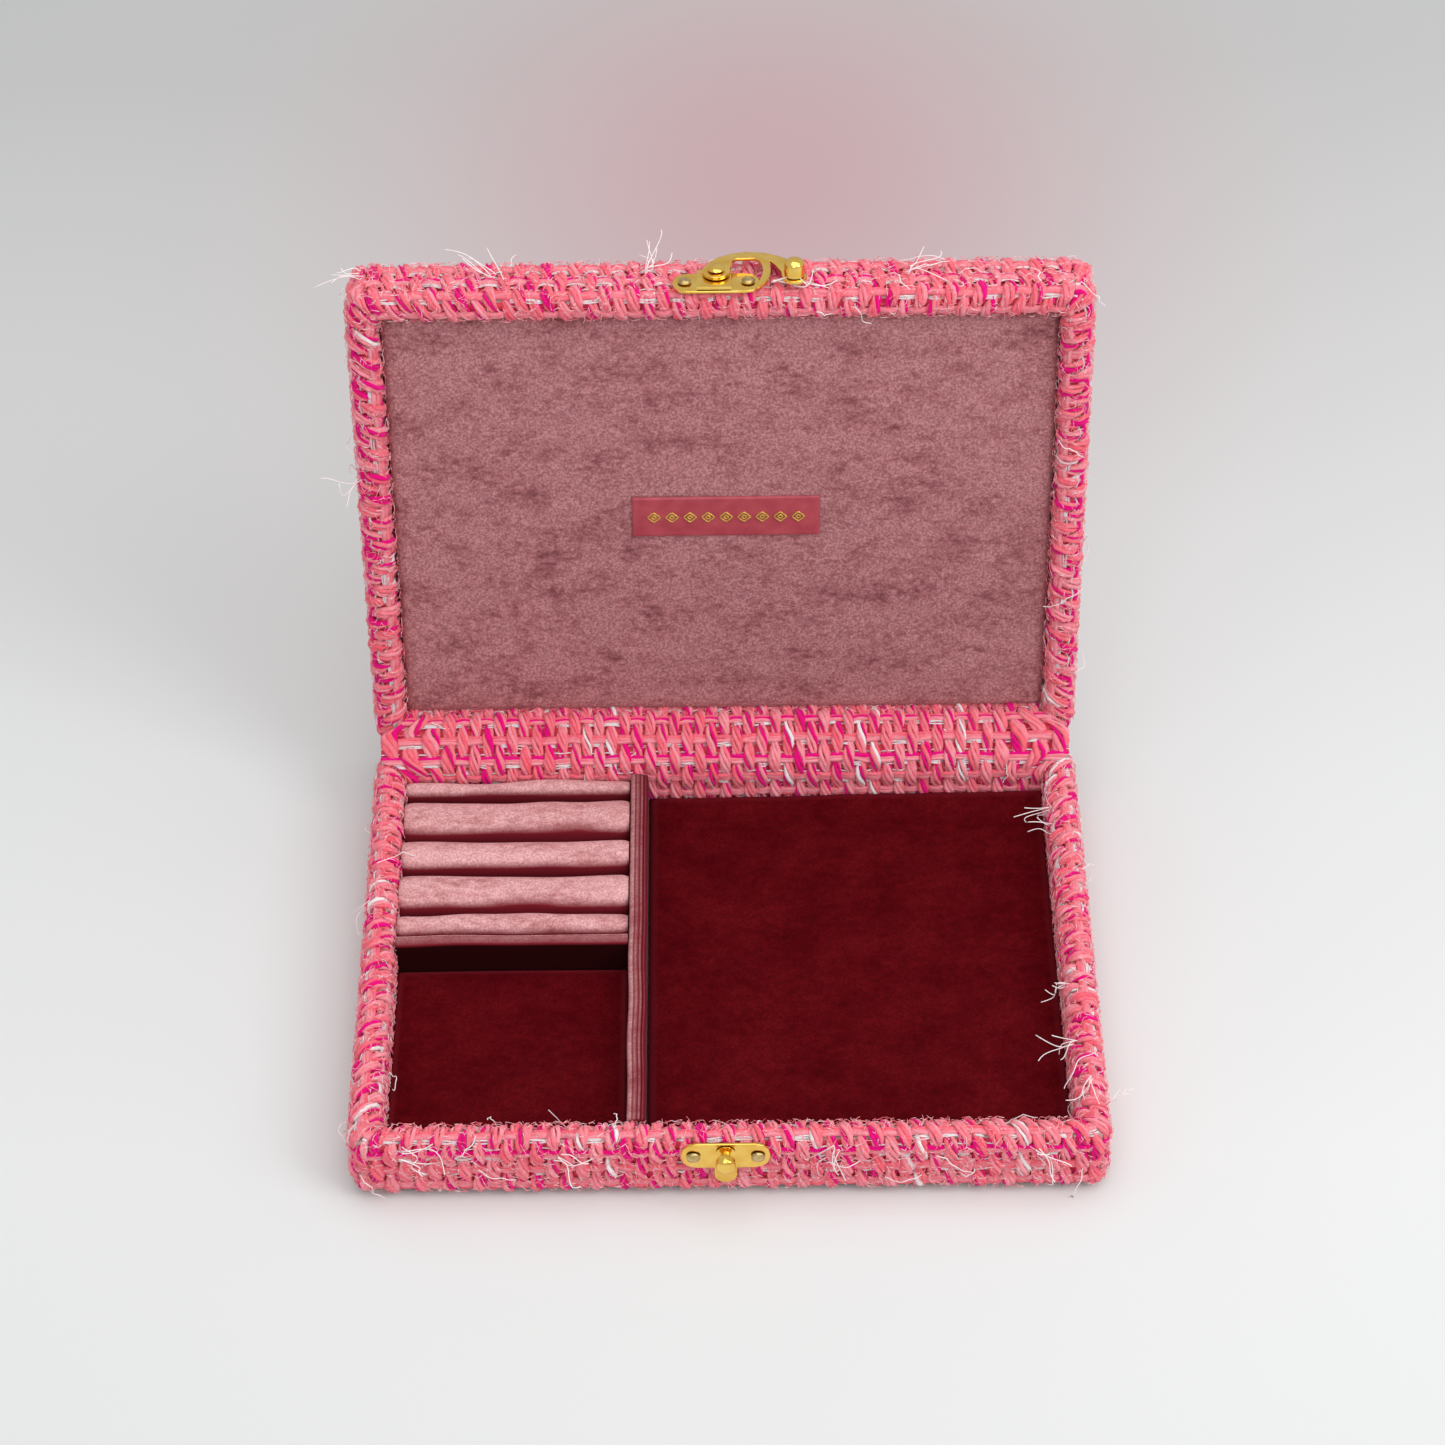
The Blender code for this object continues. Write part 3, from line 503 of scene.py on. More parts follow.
def tweedTree():
    tree, size = sizeTree("tweedWeave", tweedShape)
    pitch = size["Yarn Pitch"]
    rowPitch = size["Row Pitch"]
    first = size["First Yarn"]

    count = times(size["Yarns"], size["Strands"])
    curves, strand, step = threadGrid(tree, count, times(size["Rows"], size["Steps"]))
    yarn, which = shareOut(strand, size["Strands"])
    known = plus(yarn, first)
    row = calc("DIVIDE", step, size["Steps"])
    lift = calc("COSINE", times(plus(row, known), math.pi))
    up = scaled(lift, 0.5, 0.5)
    own = randomFor(tree, known, 11)
    turn = plus(calc("DIVIDE", which, size["Strands"]),
                scaled(row, size["Turns"], own))
    angle = times(turn, math.tau)
    sway = wander(tree, times(known, 0.9), times(row, 0.7),
                  times(which, 3.3), 4.0)
    drift = wander(tree, times(known, 0.35), times(row, 0.3), 0.0, 9.0)
    wide = times(size["Bead Wide"], between(0.62, 1.0, up))
    tall = times(size["Bead Tall"], between(0.55, 1.0, up))
    x = times(plus(yarn, 0.5), pitch)
    x = plus(x, times(wide, calc("COSINE", angle)))
    x = plus(x, scaled(sway[0], 0.0011, times(drift[0], 0.0022)))
    y = scaled(row, rowPitch, times(drift[1], 0.0012))
    z = scaled(lift, size["Bead Lift"], times(tall, calc("SINE", angle)))
    z = plus(z, scaled(sway[2], 0.0008, times(drift[2], 0.0010)))
    isMagenta = calc("LESS_THAN", which, 0.5)
    second = calc("GREATER_THAN", randomFor(tree, strand, 5), 0.92)
    isWhite = calc("LESS_THAN", randomFor(tree, strand, 8), 0.03)
    dye = times(calc("MAXIMUM", isMagenta, second), 0.5)
    dye = calc("MAXIMUM", dye, isWhite)
    radius = times(size["Strand Radius"], between(0.78, 1.0, up))
    radius = times(radius, scaled(sway[1], 0.9, 1.0))
    radius = times(radius, between(1.0, 0.62, isMagenta))
    warp = tubes(tree, curves, (x, y, z), radius, dye, randomFor(tree, strand, 21), 5)

    # each row: three soft coral strands, a band of three white threads beside them and one stray white
    bands = 7.0
    count = times(plus(size["Rows"], 1.0), bands)
    curves, thread, step = threadGrid(tree, count, times(size["Yarns"], size["Weft Steps"]))
    row, which = shareOut(thread, bands)
    column = calc("DIVIDE", step, size["Weft Steps"])
    known = plus(column, first)
    lift = calc("COSINE", times(plus(plus(row, known), 0.5), math.pi))
    sway = wander(tree, times(known, 0.8), times(row, 5.1),
                  times(which, 7.7), 2.0)
    slow = wander(tree, times(known, 0.21), times(row, 3.1), 0.0, 6.0)
    isCoral = calc("LESS_THAN", which, 2.5)
    isStray = calc("GREATER_THAN", which, 5.5)
    coralPlace = times(minus(which, 0.6), 0.00070)
    whitePlace = scaled(which, -0.00036, -0.00010)
    apart = plus(times(coralPlace, isCoral),
                 times(whitePlace, minus(1.0, isCoral)))
    apart = scaled(isStray, 0.0046, apart)
    x = times(column, pitch)
    y = plus(scaled(row, rowPitch, apart), times(sway[1], 0.0016))
    y = scaled(slow[1], 0.0016, y)
    z = scaled(lift, size["Weft Lift"], times(sway[2], 0.0009))
    z = minus(z, times(isCoral, 0.00012))
    dive = wander(tree, times(known, 0.55), times(row, 9.1), 0.0, 13.0)
    sunk = times(calc("LESS_THAN", dive[0], 0.015), minus(1.0, isCoral))
    z = scaled(sunk, -0.0011, z)
    radius = plus(times(size["Weft Radius"], isCoral),
                  times(size["White Radius"], minus(1.0, isCoral)))
    radius = times(radius, scaled(sway[0], 0.8, 1.0))
    magentaWeft = times(isCoral, calc("LESS_THAN", randomFor(tree, thread, 44), 0.16))
    quietStray = times(isStray, calc("LESS_THAN", randomFor(tree, thread, 52), 0.6))
    z = scaled(quietStray, -0.0005, z)
    dye = minus(minus(1.0, isCoral), quietStray)
    dye = scaled(magentaWeft, 0.5, dye)
    weft = tubes(tree, curves, (x, y, z), radius, dye, randomFor(tree, thread, 31), 4)
    both = tree.nodes.new("GeometryNodeJoinGeometry")
    tree.links.new(warp, both.inputs[0])
    tree.links.new(weft, both.inputs[0])
    return endTree(tree, both.outputs[0], yarnLook)


weave = tweedTree()

# the surface that the yarns' centres lie on, this far inside the outer face
cover = {"under": 0.0011, "corner": 0.0048, "cornerShrink": 0.45, "cornerLeast": 0.0010,
         "cornerYarns": 2, "backing": 0.0019, "backingThick": 0.0004}


def arcOf(centre, radius, start, end, steps=8):
    spots = []
    for step in range(steps + 1):
        angle = math.radians(start + (end - start) * step / steps)
        spots.append((centre[0] + radius * math.cos(angle), centre[1] + radius * math.sin(angle)))
    return spots


def trayGuide(under):
    # (inset, height) from below the outer edge, over the rim and down the inner face
    top = boxShape["trayTop"] - under - 0.0002
    rim = boxShape["rim"] - under + 0.0002
    wall = boxShape["wall"] - under
    low = 0.0012 + under
    edge = 0.0030 - under
    points = [(0.0060, low)] + arcOf((under + edge, low + edge), edge, 270, 180)
    points += arcOf((under + rim, top - rim), rim, 180, 90)
    points += arcOf((wall - rim, top - rim), rim, 90, 0)
    return points + [(wall, 0.0060)]


def lidGuide(under):
    # (inset, height) in the lid's own frame from the top, round the mouth's rim and up the inner face
    top = boxShape["lidTop"] - under
    mouth = boxShape["lidMouth"] + under + 0.0002
    rim = boxShape["rim"] - under + 0.0002
    wall = boxShape["wall"] - under
    points = [(0.0075, top)] + arcOf((under + rim, top - rim), rim, 90, 180)
    points += arcOf((under + rim, mouth + rim), rim, 180, 270)
    points += arcOf((wall - rim, mouth + rim), rim, 270, 360)
    return points + [(wall, 0.0085)]


def coverGuide(under):
    # (distance from the front, height, run inset) over the lid from inside its front to inside its back
    half = lidGuide(under)[::-1]
    whole = 2.0 * boxShape["halfY"]
    front = [(inset, height, min(inset, boxShape["wall"])) for inset, height in half[:-1]]
    back = [(whole - inset, height, run) for inset, height, run in front[::-1]]
    return front + back


def alongGuide(guide, turned):
    spots = np.array(guide, float)
    steps = np.linalg.norm(np.diff(spots[:, :2], axis=0), axis=1)
    far = np.concatenate(([0.0], np.cumsum(steps)))
    dense = np.linspace(0.0, far[-1], 1500)
    table = np.stack([np.interp(dense, far, spots[:, i]) for i in range(spots.shape[1])], axis=1)
    run = np.gradient(table[:, :2], axis=0)
    run /= np.linalg.norm(run, axis=1)[:, None]
    kernel = np.ones(25) / 25.0
    normal = np.stack((-run[:, 1], run[:, 0]), axis=1) * turned
    for i in range(2):
        padded = np.pad(normal[:, i], 12, mode="edge")
        normal[:, i] = np.convolve(padded, kernel, mode="valid")
    normal /= np.linalg.norm(normal, axis=1)[:, None]
    return dense, table, normal


def ringPoints(turn, inset, run=None):
    # turn counts straights and corners from the front left: 0-1 front, 1-2 corner, 2-3 right, ...
    run = inset if run is None else run
    halfX = boxShape["halfX"] - run
    halfY = boxShape["halfY"] - run
    corner = np.maximum(cover["corner"] - cover["cornerShrink"] * run, cover["cornerLeast"])
    slack = run - inset
    result = np.zeros((len(turn), 2))
    signs = ((1, -1), (1, 1), (-1, 1), (-1, -1))
    for side in range(4):
        sx, sy = signs[side]
        px, py = signs[side - 1]
        straight = (turn >= 2 * side) & (turn < 2 * side + 1)
        share = turn - 2 * side
        reachX = halfX - corner
        reachY = halfY - corner
        if side % 2 == 0:
            x = px * reachX + (sx - px) * reachX * share
            y = py * (halfY + slack) + 0.0 * share
        else:
            x = px * (halfX + slack) + 0.0 * share
            y = py * reachY + (sy - py) * reachY * share
        result[straight, 0] = x[straight]
        result[straight, 1] = y[straight]
        bend = (turn >= 2 * side + 1) & (turn <= 2 * side + 2.0001)
        angle = math.radians(-90.0 + 90.0 * side) + (turn - 2 * side - 1) * math.pi / 2
        result[bend, 0] = (sx * reachX + corner * np.cos(angle))[bend]
        result[bend, 1] = (sy * reachY + corner * np.sin(angle))[bend]
    return result


def intoMesh(mesh, points):
    mesh.vertices.foreach_set("co", np.ascontiguousarray(points, np.float32).ravel())
    mesh.update()


def fromMesh(mesh):
    points = np.zeros(len(mesh.vertices) * 3, np.float32)
    mesh.vertices.foreach_get("co", points)
    return points.reshape(-1, 3).astype(float)


def moveBy(points, matrix):
    matrix = np.array(matrix)
    return points @ matrix[:3, :3].T + matrix[:3, 3]


def paintShading(mesh, values):
    layer = mesh.attributes.new("paintedShading", "FLOAT", "POINT")
    layer.data.foreach_set("value", np.clip(np.asarray(values, np.float32), 0.0, 1.0))


def easeStep(values, low, high):
    t = np.clip((values - low) / (high - low), 0.0, 1.0)
    return t * t * (3.0 - 2.0 * t)


def wovenPiece(name, yarns, length, firstYarn, place, flip):
    rows = max(2, round(length / tweedShape["Row Pitch"]))
    sizes = {"Yarns": yarns, "Rows": rows, "First Yarn": firstYarn}
    mesh = bakeTree(name, weave, sizes)
    flat = fromMesh(mesh)
    u = flat[:, 0] / tweedShape["Yarn Pitch"]
    v = np.clip(flat[:, 1] / (rows * tweedShape["Row Pitch"]), 0.0, 1.0)
    intoMesh(mesh, place(u, v, flat[:, 2]))
    if flip:
        mesh.flip_normals()
    return keepPiece(name, mesh, yarnLook)


yarnCount = {"front": 49, "side": 36, "coverParts": 4, "coverPart": 12.25}


def yarnTurns(u, spans):
    # spans: (yarns, first turn, last turn) one after the other
    marks = [0.0]
    turns = [spans[0][1]]
    for yarns, _, high in spans:
        marks.append(marks[-1] + yarns)
        turns.append(high)
    return np.interp(u, marks, turns)


def besideGuide(s, far, table, normal, lift):
    # the two coordinates of points at distance s along a guide, lifted off it
    return [np.interp(s, far, table[:, i]) + np.interp(s, far, normal[:, i]) * lift for i in (0, 1)]


def wallPlace(guide, turned, centreY, spans, matrix=None):
    far, table, normal = alongGuide(guide, turned)

    def place(u, v, lift):
        inset, height = besideGuide(v * far[-1], far, table, normal, lift)
        flat = ringPoints(yarnTurns(u, spans), inset)
        points = np.stack((flat[:, 0], flat[:, 1] + centreY, height), axis=1)
        return points if matrix is None else moveBy(points, matrix)
    return place, far[-1]


frontEnd = 0.9999  # the turn just before the front's straight part meets its right corner


def coverPlace(guide, matrix, low, high):
    far, table, normal = alongGuide(guide, 1.0)

    def place(u, v, lift):
        s = v * far[-1]
        y, height = besideGuide(s, far, table, normal, lift)
        run = np.interp(s, far, table[:, 2])
        reach = ringPoints(np.full(len(u), frontEnd), run)[:, 0]
        share = low + (high - low) * u / yarnCount["coverPart"]
        points = np.stack((reach * (2.0 * share - 1.0), y - 2.0 * boxShape["halfY"], height), axis=1)
        return moveBy(points, matrix)
    return place, far[-1]


def clothSkin(name, guide, turned, centreY, matrix, rings, steps, topped):
    # the plain cloth under the yarns, coloured dark coral as painted shade between them: a thin closed skin
    # over the walls, and over the top where topped
    far, table, normal = alongGuide(guide, turned)
    pick = np.linspace(0, len(far) - 1, rings).astype(int)
    turns = []
    for side in range(4):
        turns += [2 * side + i / steps for i in range(steps)] + [2 * side + 1 + i / 6 for i in range(6)]
    turns = np.array(turns)

    def build(work):
        loops = []
        for order, lift in ((pick, 0.0), (pick[::-1], -cover["backingThick"])):
            for i in order:
                inset = np.full(len(turns), table[i, 0] + normal[i, 0] * lift)
                height = table[i, 1] + normal[i, 1] * lift
                loops.append([work.verts.new((x, y + centreY, height)) for x, y in ringPoints(turns, inset)])
        skinLoops(work, loops, closed=not topped, caps=topped)

    mesh = meshOf(name, build)
    if matrix is not None:
        mesh.transform(matrix)
    return keepPiece(name, mesh, shadedBackingLook)


def trayTweed():
    first = 0
    corner = cover["cornerYarns"]
    plan = (("trayFrontYarns", [(yarnCount["front"], 0, 1)]),
            ("trayRightYarns", [(corner, 1, 2), (yarnCount["side"], 2, 3), (corner, 3, 4)]),
            ("trayBackYarns", [(yarnCount["front"], 4, 5)]),
            ("trayLeftYarns", [(corner, 5, 6), (yarnCount["side"], 6, 7), (corner, 7, 8)]))
    for name, spans in plan:
        place, length = wallPlace(trayGuide(cover["under"]), 1.0, 0.0, spans)
        yarns = sum(span[0] for span in spans)
        piece = wovenPiece(name, yarns, length, first, place, False)
        first += yarns
        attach(piece, "tray")
    backing = clothSkin("trayCloth", trayGuide(cover["backing"]), 1.0, 0.0, None, 46, 24, False)
    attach(backing, "tray")
    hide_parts("tray_tweed_wrap")


def lidTweed():
    pieces = []
    corner = cover["cornerYarns"]
    for number, (name, spans) in enumerate((
            ("lidRightYarns", [(corner, 1, 2), (yarnCount["side"], 2, 3), (corner, 3, 4)]),
            ("lidLeftYarns", [(corner, 5, 6), (yarnCount["side"], 6, 7), (corner, 7, 8)]))):
        place, length = wallPlace(lidGuide(cover["under"]), -1.0, -boxShape["halfY"], spans, lidPlace)
        yarns = sum(span[0] for span in spans)
        pieces.append(wovenPiece(name, yarns, length, 300 + 50 * number, place, True))
    whole = yarnCount["front"]
    parts = yarnCount["coverParts"]
    for part in range(parts):
        # the last part of the top takes the yarn that is left over
        firstYarn = whole // parts * part
        yarns = whole - firstYarn if part == parts - 1 else whole // parts
        place, length = coverPlace(coverGuide(cover["under"]), lidPlace, firstYarn / whole,
                                   (firstYarn + yarnCount["coverPart"]) / whole)
        pieces.append(wovenPiece(f"lidTopYarns{part + 1}", yarns, length, 500 + firstYarn, place, False))
    backing = clothSkin("lidCloth", lidGuide(cover["backing"])[1:], -1.0, -boxShape["halfY"], lidPlace,
                        40, 16, True)
    for piece in pieces + [backing]:
        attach(piece, "lid")
    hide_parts("lid_tweed_wrap")


trayTweed()
print("tray tweed woven")
lidTweed()
print("lid tweed woven")


# ---- the two hinge cloths

innerStrip = {"half": 0.0985, "yarns": 51, "insideHalf": 0.0911, "under": 0.0006}
outerStrip = {"half": 0.0960, "yarns": 50, "leg": 0.0090}


def lidPoint(y, z):
    spot = lidPlace @ Vector((0.0, y, z))
    return (spot.y, spot.z)


def roundPath(points, radius, steps=5):
    # cut each corner of a (y, z) path with a soft bend
    soft = [points[0]]
    for before, here, after in zip(points, points[1:], points[2:]):
        here = Vector(here)
        inward = Vector(before) - here
        outward = Vector(after) - here
        reach = min(radius, inward.length * 0.45, outward.length * 0.45)
        start = here + inward.normalized() * reach
        end = here + outward.normalized() * reach
        for step in range(steps + 1):
            t = step / steps
            soft.append(tuple(start * (1 - t) ** 2 + here * 2 * t * (1 - t) + end * t ** 2))
    return soft + [points[-1]]


def stripPlace(path, widths, turned, yarns):
    far, table, normal = alongGuide(path, turned)
    spread = np.interp(far / far[-1], [w[0] for w in widths], [w[1] for w in widths])

    def place(u, v, lift):
        s = v * far[-1]
        y, z = besideGuide(s, far, table, normal, lift)
        share = 2.0 * u / yarns - 1.0
        narrow = widths[0][1]
        outermost = np.clip((np.abs(share) - 0.86) / 0.14, 0.0, 1.0)
        x = narrow * share + np.sign(share) * (np.interp(s, far, spread) - narrow) * outermost
        return np.stack((x, y, z), axis=1)
    return place, far[-1]


def stripSheet(name, path, widths, turned, yarns, thick, drop):
    place, _ = stripPlace(path, widths, turned, yarns)
    rows = np.linspace(0.0, 1.0, 40)
    columns = np.linspace(0.0, yarns, 60)

    def build(work):
        grids = []
        for lift in (-drop, -drop - thick):
            lifts = np.full(len(columns), lift)
            lines = [place(columns, np.full(len(columns), v), lifts) for v in rows]
            grids.append([[work.verts.new(point) for point in line] for line in lines])
        slabFaces(work, *grids)

    # the sheet under the hinge yarns is dark coral, painted shade between the yarns
    return keepPiece(name, meshOf(name, build), shadedBackingLook)


looseShape = {"Density": 2600.0, "Shortest": 0.004, "Longest": 0.015, "Girth": 0.00013, "Curl": 0.0042,
              "Arch": 0.0020, "Base": 0.0020, "Steps": 11, "Fine": 20, "Sides": 4, "Seed": 3}
fuzzShape = {"Density": 330000.0, "Shortest": 0.0012, "Longest": 0.0034, "Girth": 0.00009, "Curl": 0.0034,
             "Arch": 0.0005, "Base": 0.0013, "Steps": 4, "Fine": 3, "Sides": 3, "Seed": 12}


def vectorCalc(tree, operation, inputs, label="Vector"):
    return put(tree, "ShaderNodeVectorMath", {"operation": operation}, inputs).outputs[label]


def looseTree(name, material):
    # short curled hairs that stand or lie on a face: white thread ends or the yarns' own fuzz
    tree, size = sizeTree(name, looseShape)
    inlet = next(node for node in tree.nodes if node.bl_idname == "NodeGroupInput")
    spots = put(tree, "GeometryNodeDistributePointsOnFaces",
                inputs={"Mesh": inlet.outputs[0], "Density": size["Density"], "Seed": size["Seed"]})
    line = result(tree, "GeometryNodeCurvePrimitiveLine",
                  {"Start": (-0.4, 0.0, 0.0), "End": (0.6, 0.0, 0.0)})
    cut = result(tree, "GeometryNodeResampleCurve", {"Curve": line, "Count": size["Steps"]})
    spin = put(tree, "FunctionNodeRandomValue", {"data_type": "FLOAT"}, {"Seed": 7, 3: 6.28}).outputs[1]
    turned = result(tree, "FunctionNodeRotateRotation",
                    {"Rotation": spots.outputs[2], 1: vector(tree, z=spin)}, {"rotation_space": "LOCAL"})
    long = put(tree, "FunctionNodeRandomValue", {"data_type": "FLOAT"},
               {"Seed": 15, 2: size["Shortest"], 3: size["Longest"]}).outputs[1]
    keptNormal = result(tree, "GeometryNodeStoreNamedAttribute",
                        {"Geometry": spots.outputs[0], "Name": "outward", "Value": spots.outputs[1]},
                        {"data_type": "FLOAT_VECTOR", "domain": "POINT"})
    copies = result(tree, "GeometryNodeInstanceOnPoints",
                    {"Points": keptNormal, "Instance": cut, "Rotation": turned,
                     "Scale": vector(tree, long, 1.0, 1.0)})
    real = result(tree, "GeometryNodeRealizeInstances", {"Geometry": copies})
    index = tree.nodes.new("GeometryNodeInputIndex").outputs[0]
    number, step = shareOut(index, size["Steps"])
    along = calc("DIVIDE", step, minus(size["Steps"], 1.0))
    sway = wander(tree, times(number, 3.7), times(along, 2.1), 0.0, 5.0)
    strong = times(scaled(along, 1.4, 0.5), size["Curl"])
    offset = vectorCalc(tree, "SCALE", {0: vector(tree, *sway), "Scale": strong})
    outward = result(tree, "GeometryNodeInputNamedAttribute", {"Name": "outward"},
                     {"data_type": "FLOAT_VECTOR"})
    rise = times(calc("SINE", times(along, 2.7)), size["Arch"])
    lifted = vectorCalc(tree, "SCALE", {0: outward, "Scale": plus(rise, size["Base"])})
    # take most of the random curl's inward part away, so that a thread stays on the cloth
    inwardPart = vectorCalc(tree, "DOT_PRODUCT", {0: offset, 1: outward}, "Value")
    mend = vectorCalc(tree, "SCALE", {0: outward, "Scale": times(inwardPart, -0.75)})
    total = vectorCalc(tree, "ADD", {0: vectorCalc(tree, "ADD", {0: offset, 1: lifted}), 1: mend})
    moved = result(tree, "GeometryNodeSetPosition", {"Geometry": real, "Offset": total})
    smooth = result(tree, "GeometryNodeCurveSplineType", {"Curve": moved}, {"spline_type": "CATMULL_ROM"})
    finer = result(tree, "GeometryNodeResampleCurve", {"Curve": smooth, "Count": size["Fine"]})
    return endTree(tree, thicken(tree, finer, size["Sides"], size["Girth"], True), material)


looseThreads = looseTree("looseThreads", threadLook)
fuzz = looseTree("yarnFuzz", fuzzLook)


def faceSkin(guide, turned, centreY, matrix, low, high):
    # the outer face of a wall as an open skin, from share low to high of its guide
    far, table, _ = alongGuide(guide, turned)
    pick = np.linspace(low, high, 16) * (len(far) - 1)
    turns = np.array([side + i / 12 for side in range(8) for i in range(12)])
    work = bmesh.new()
    loops = []
    for i in pick.astype(int):
        flat = ringPoints(turns, np.full(len(turns), table[i, 0]))
        loops.append([work.verts.new((x, y + centreY, table[i, 1])) for x, y in flat])
    skinLoops(work, loops, flip=turned < 0)
    mesh = bpy.data.meshes.new("faceSkin")
    work.to_mesh(mesh)
    work.free()
    if matrix is not None:
        mesh.transform(matrix)
    return mesh


def strayThreads(body, guide, turned, centreY, matrix, seed):
    for word, tree, shape, high, look in (("LooseThreads", looseThreads, looseShape, 0.80, threadLook),
                                          ("Fuzz", fuzz, fuzzShape, 0.92, fuzzLook)):
        skin = faceSkin(guide, turned, centreY, matrix, 0.12, high)
        coatSkin(body + word, tree, skin, dict(shape, Seed=seed), body, look)


clearOfFloor = {"fuzz": 0.0004, "tufts": 0.0006}  # the least height of a thread on the tray


def coatSkin(name, tree, skin, sizes, body, look):
    mesh = bakeTree(name, tree, sizes, skin)
    if body == "tray":
        points = fromMesh(mesh)
        points[:, 2] = np.maximum(points[:, 2], clearOfFloor["fuzz"])
        intoMesh(mesh, points)
    piece = keepPiece(name, mesh, look)
    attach(piece, body)


def lidTopFuzz():
    # within a margin of 6 mm of the top's edges, which the walls' own fuzz already covers
    margin = 0.006
    half = boxShape["halfX"] - margin
    near = -2.0 * boxShape["halfY"] + margin
    height = boxShape["lidTop"] - cover["under"]
    skin = bpy.data.meshes.new("lidTopSkin")
    corners = [(-half, near, height), (half, near, height), (half, -margin, height), (-half, -margin, height)]
    skin.from_pydata(corners, [], [(0, 1, 2, 3)])
    skin.transform(lidPlace)
    coatSkin("lidTopFuzz", fuzz, skin, dict(fuzzShape, Density=200000.0), "lid", fuzzLook)


# each tuft: the body it is on, its root and heading in that body's own frame, threads and length
tufts = (("tray", (0.0925, 0.0500, 0.0195), (-1.0, -0.35, 0.05), 5, 0.0090),
         ("tray", (0.0925, 0.0430, 0.0190), (-0.9, 0.10, 0.10), 3, 0.0075),
         ("tray", (0.0925, -0.0180, 0.0200), (-0.7, -0.50, 0.25), 4, 0.0080),
         ("tray", (0.0930, -0.0400, 0.0200), (-0.9, -0.10, 0.20), 5, 0.0075),
         ("tray", (0.0960, -0.0560, 0.0235), (-0.2, -0.80, 0.30), 4, 0.0110),
         ("tray", (0.0990, -0.0640, 0.0215), (0.5, -0.20, 0.50), 4, 0.0090),
         ("tray", (-0.0860, -0.0765, 0.0200), (0.8, -0.20, -0.45), 5, 0.0120),
         ("tray", (-0.0450, -0.0770, 0.0190), (0.9, -0.15, -0.40), 4, 0.0090),
         ("tray", (0.0280, -0.0765, 0.0205), (-0.3, -0.20, -0.90), 5, 0.0110),
         ("tray", (0.0800, -0.0760, 0.0180), (0.5, -0.20, -0.70), 5, 0.0100),
         ("lid", (-0.0960, -0.1510, 0.0100), (-1.0, -0.10, -0.35), 6, 0.0075),
         ("lid", (-0.0200, -0.1520, 0.0110), (0.25, -0.30, 0.60), 6, 0.0085),
         ("lid", (0.0150, -0.1520, 0.0035), (1.0, -0.10, 0.05), 5, 0.0150),
         ("lid", (0.0500, -0.1520, 0.0080), (0.8, -0.20, 0.50), 5, 0.0110),
         ("lid", (-0.0600, -0.1520, 0.0080), (-0.9, -0.20, 0.40), 5, 0.0100),
         ("lid", (-0.0990, -0.0900, 0.0030), (-0.6, 0.30, -0.50), 4, 0.0080))


threadRadius = 0.00014


def threadTufts():
    generator = np.random.default_rng(21)
    for body in ("tray", "lid"):
        runs = []
        for owner, root, heading, count, length in tufts:
            if owner != body:
                continue
            for _ in range(count):
                way = np.array(heading) + generator.normal(size=3) * 0.28
                way /= np.linalg.norm(way)
                bend = generator.normal(size=3)
                start = np.array(root) + generator.normal(size=3) * 0.0007
                t = np.linspace(0.0, 1.0, 13)[:, None]
                curl = np.sin(t * generator.uniform(3.0, 6.5)) * generator.normal(size=3) * 0.20
                size = length * generator.uniform(0.65, 1.15)
                run = start + (way * t + bend * 0.30 * t * t + curl * t) * size
                if body == "tray":
                    run[:, 2] = np.maximum(run[:, 2], clearOfFloor["tufts"])
                runs.append(run)

        def build(work):
            for run in runs:
                along = np.gradient(run, axis=0)
                along /= np.linalg.norm(along, axis=1)[:, None]
                side = np.cross(along, (0.31, 0.52, 0.79))
                side /= np.linalg.norm(side, axis=1)[:, None]
                other = np.cross(along, side)
                rings = []
                for i in range(len(run)):
                    ring = []
                    for angle in (0.0, 1.571, 3.142, 4.712):
                        around = side[i] * math.cos(angle) + other[i] * math.sin(angle)
                        spot = run[i] + around * threadRadius
                        ring.append(work.verts.new(spot))
                    rings.append(ring)
                skinLoops(work, rings, caps=True)

        mesh = meshOf(f"{body}ThreadTufts", build)
        if body == "lid":
            mesh.transform(lidPlace)
        piece = keepPiece(f"{body}ThreadTufts", mesh, threadLook)
        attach(piece, body)


def hingeCloth(word, path, widths, turned, strip, firstYarn, thick, node):
    place, length = stripPlace(path, widths, turned, strip["yarns"])
    yarns = wovenPiece(f"{word}HingeYarns", strip["yarns"], length, firstYarn, place, turned < 0)
    sheet = stripSheet(f"{word}HingeCloth", path, widths, turned, strip["yarns"], *thick)
    for piece in (yarns, sheet):
        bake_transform(piece)
    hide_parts(node)


def innerHinge():
    insideY = boxShape["halfY"] - boxShape["wall"]
    lidY = -boxShape["halfY"] + insideY
    under = innerStrip["under"]
    start = (insideY - under, boxShape["trayTop"] - 0.0003)
    end = lidPoint(lidY - under + 0.0006, 0.0003)
    path = [(insideY - under, 0.0060), start, end, lidPoint(lidY - under + 0.0012, 0.0065)]
    inside = innerStrip["insideHalf"]
    wide = innerStrip["half"]
    widths = [(0.0, inside), (0.38, inside), (0.52, wide), (0.74, wide), (0.86, inside), (1.0, inside)]
    start = Vector((0.0, *start))
    end = Vector((0.0, *end))
    hingeCloth("inner", roundPath(path, 0.0035), widths, 1.0, innerStrip, 800, (0.0004, 0.0009),
               "inner_hinge_strip")


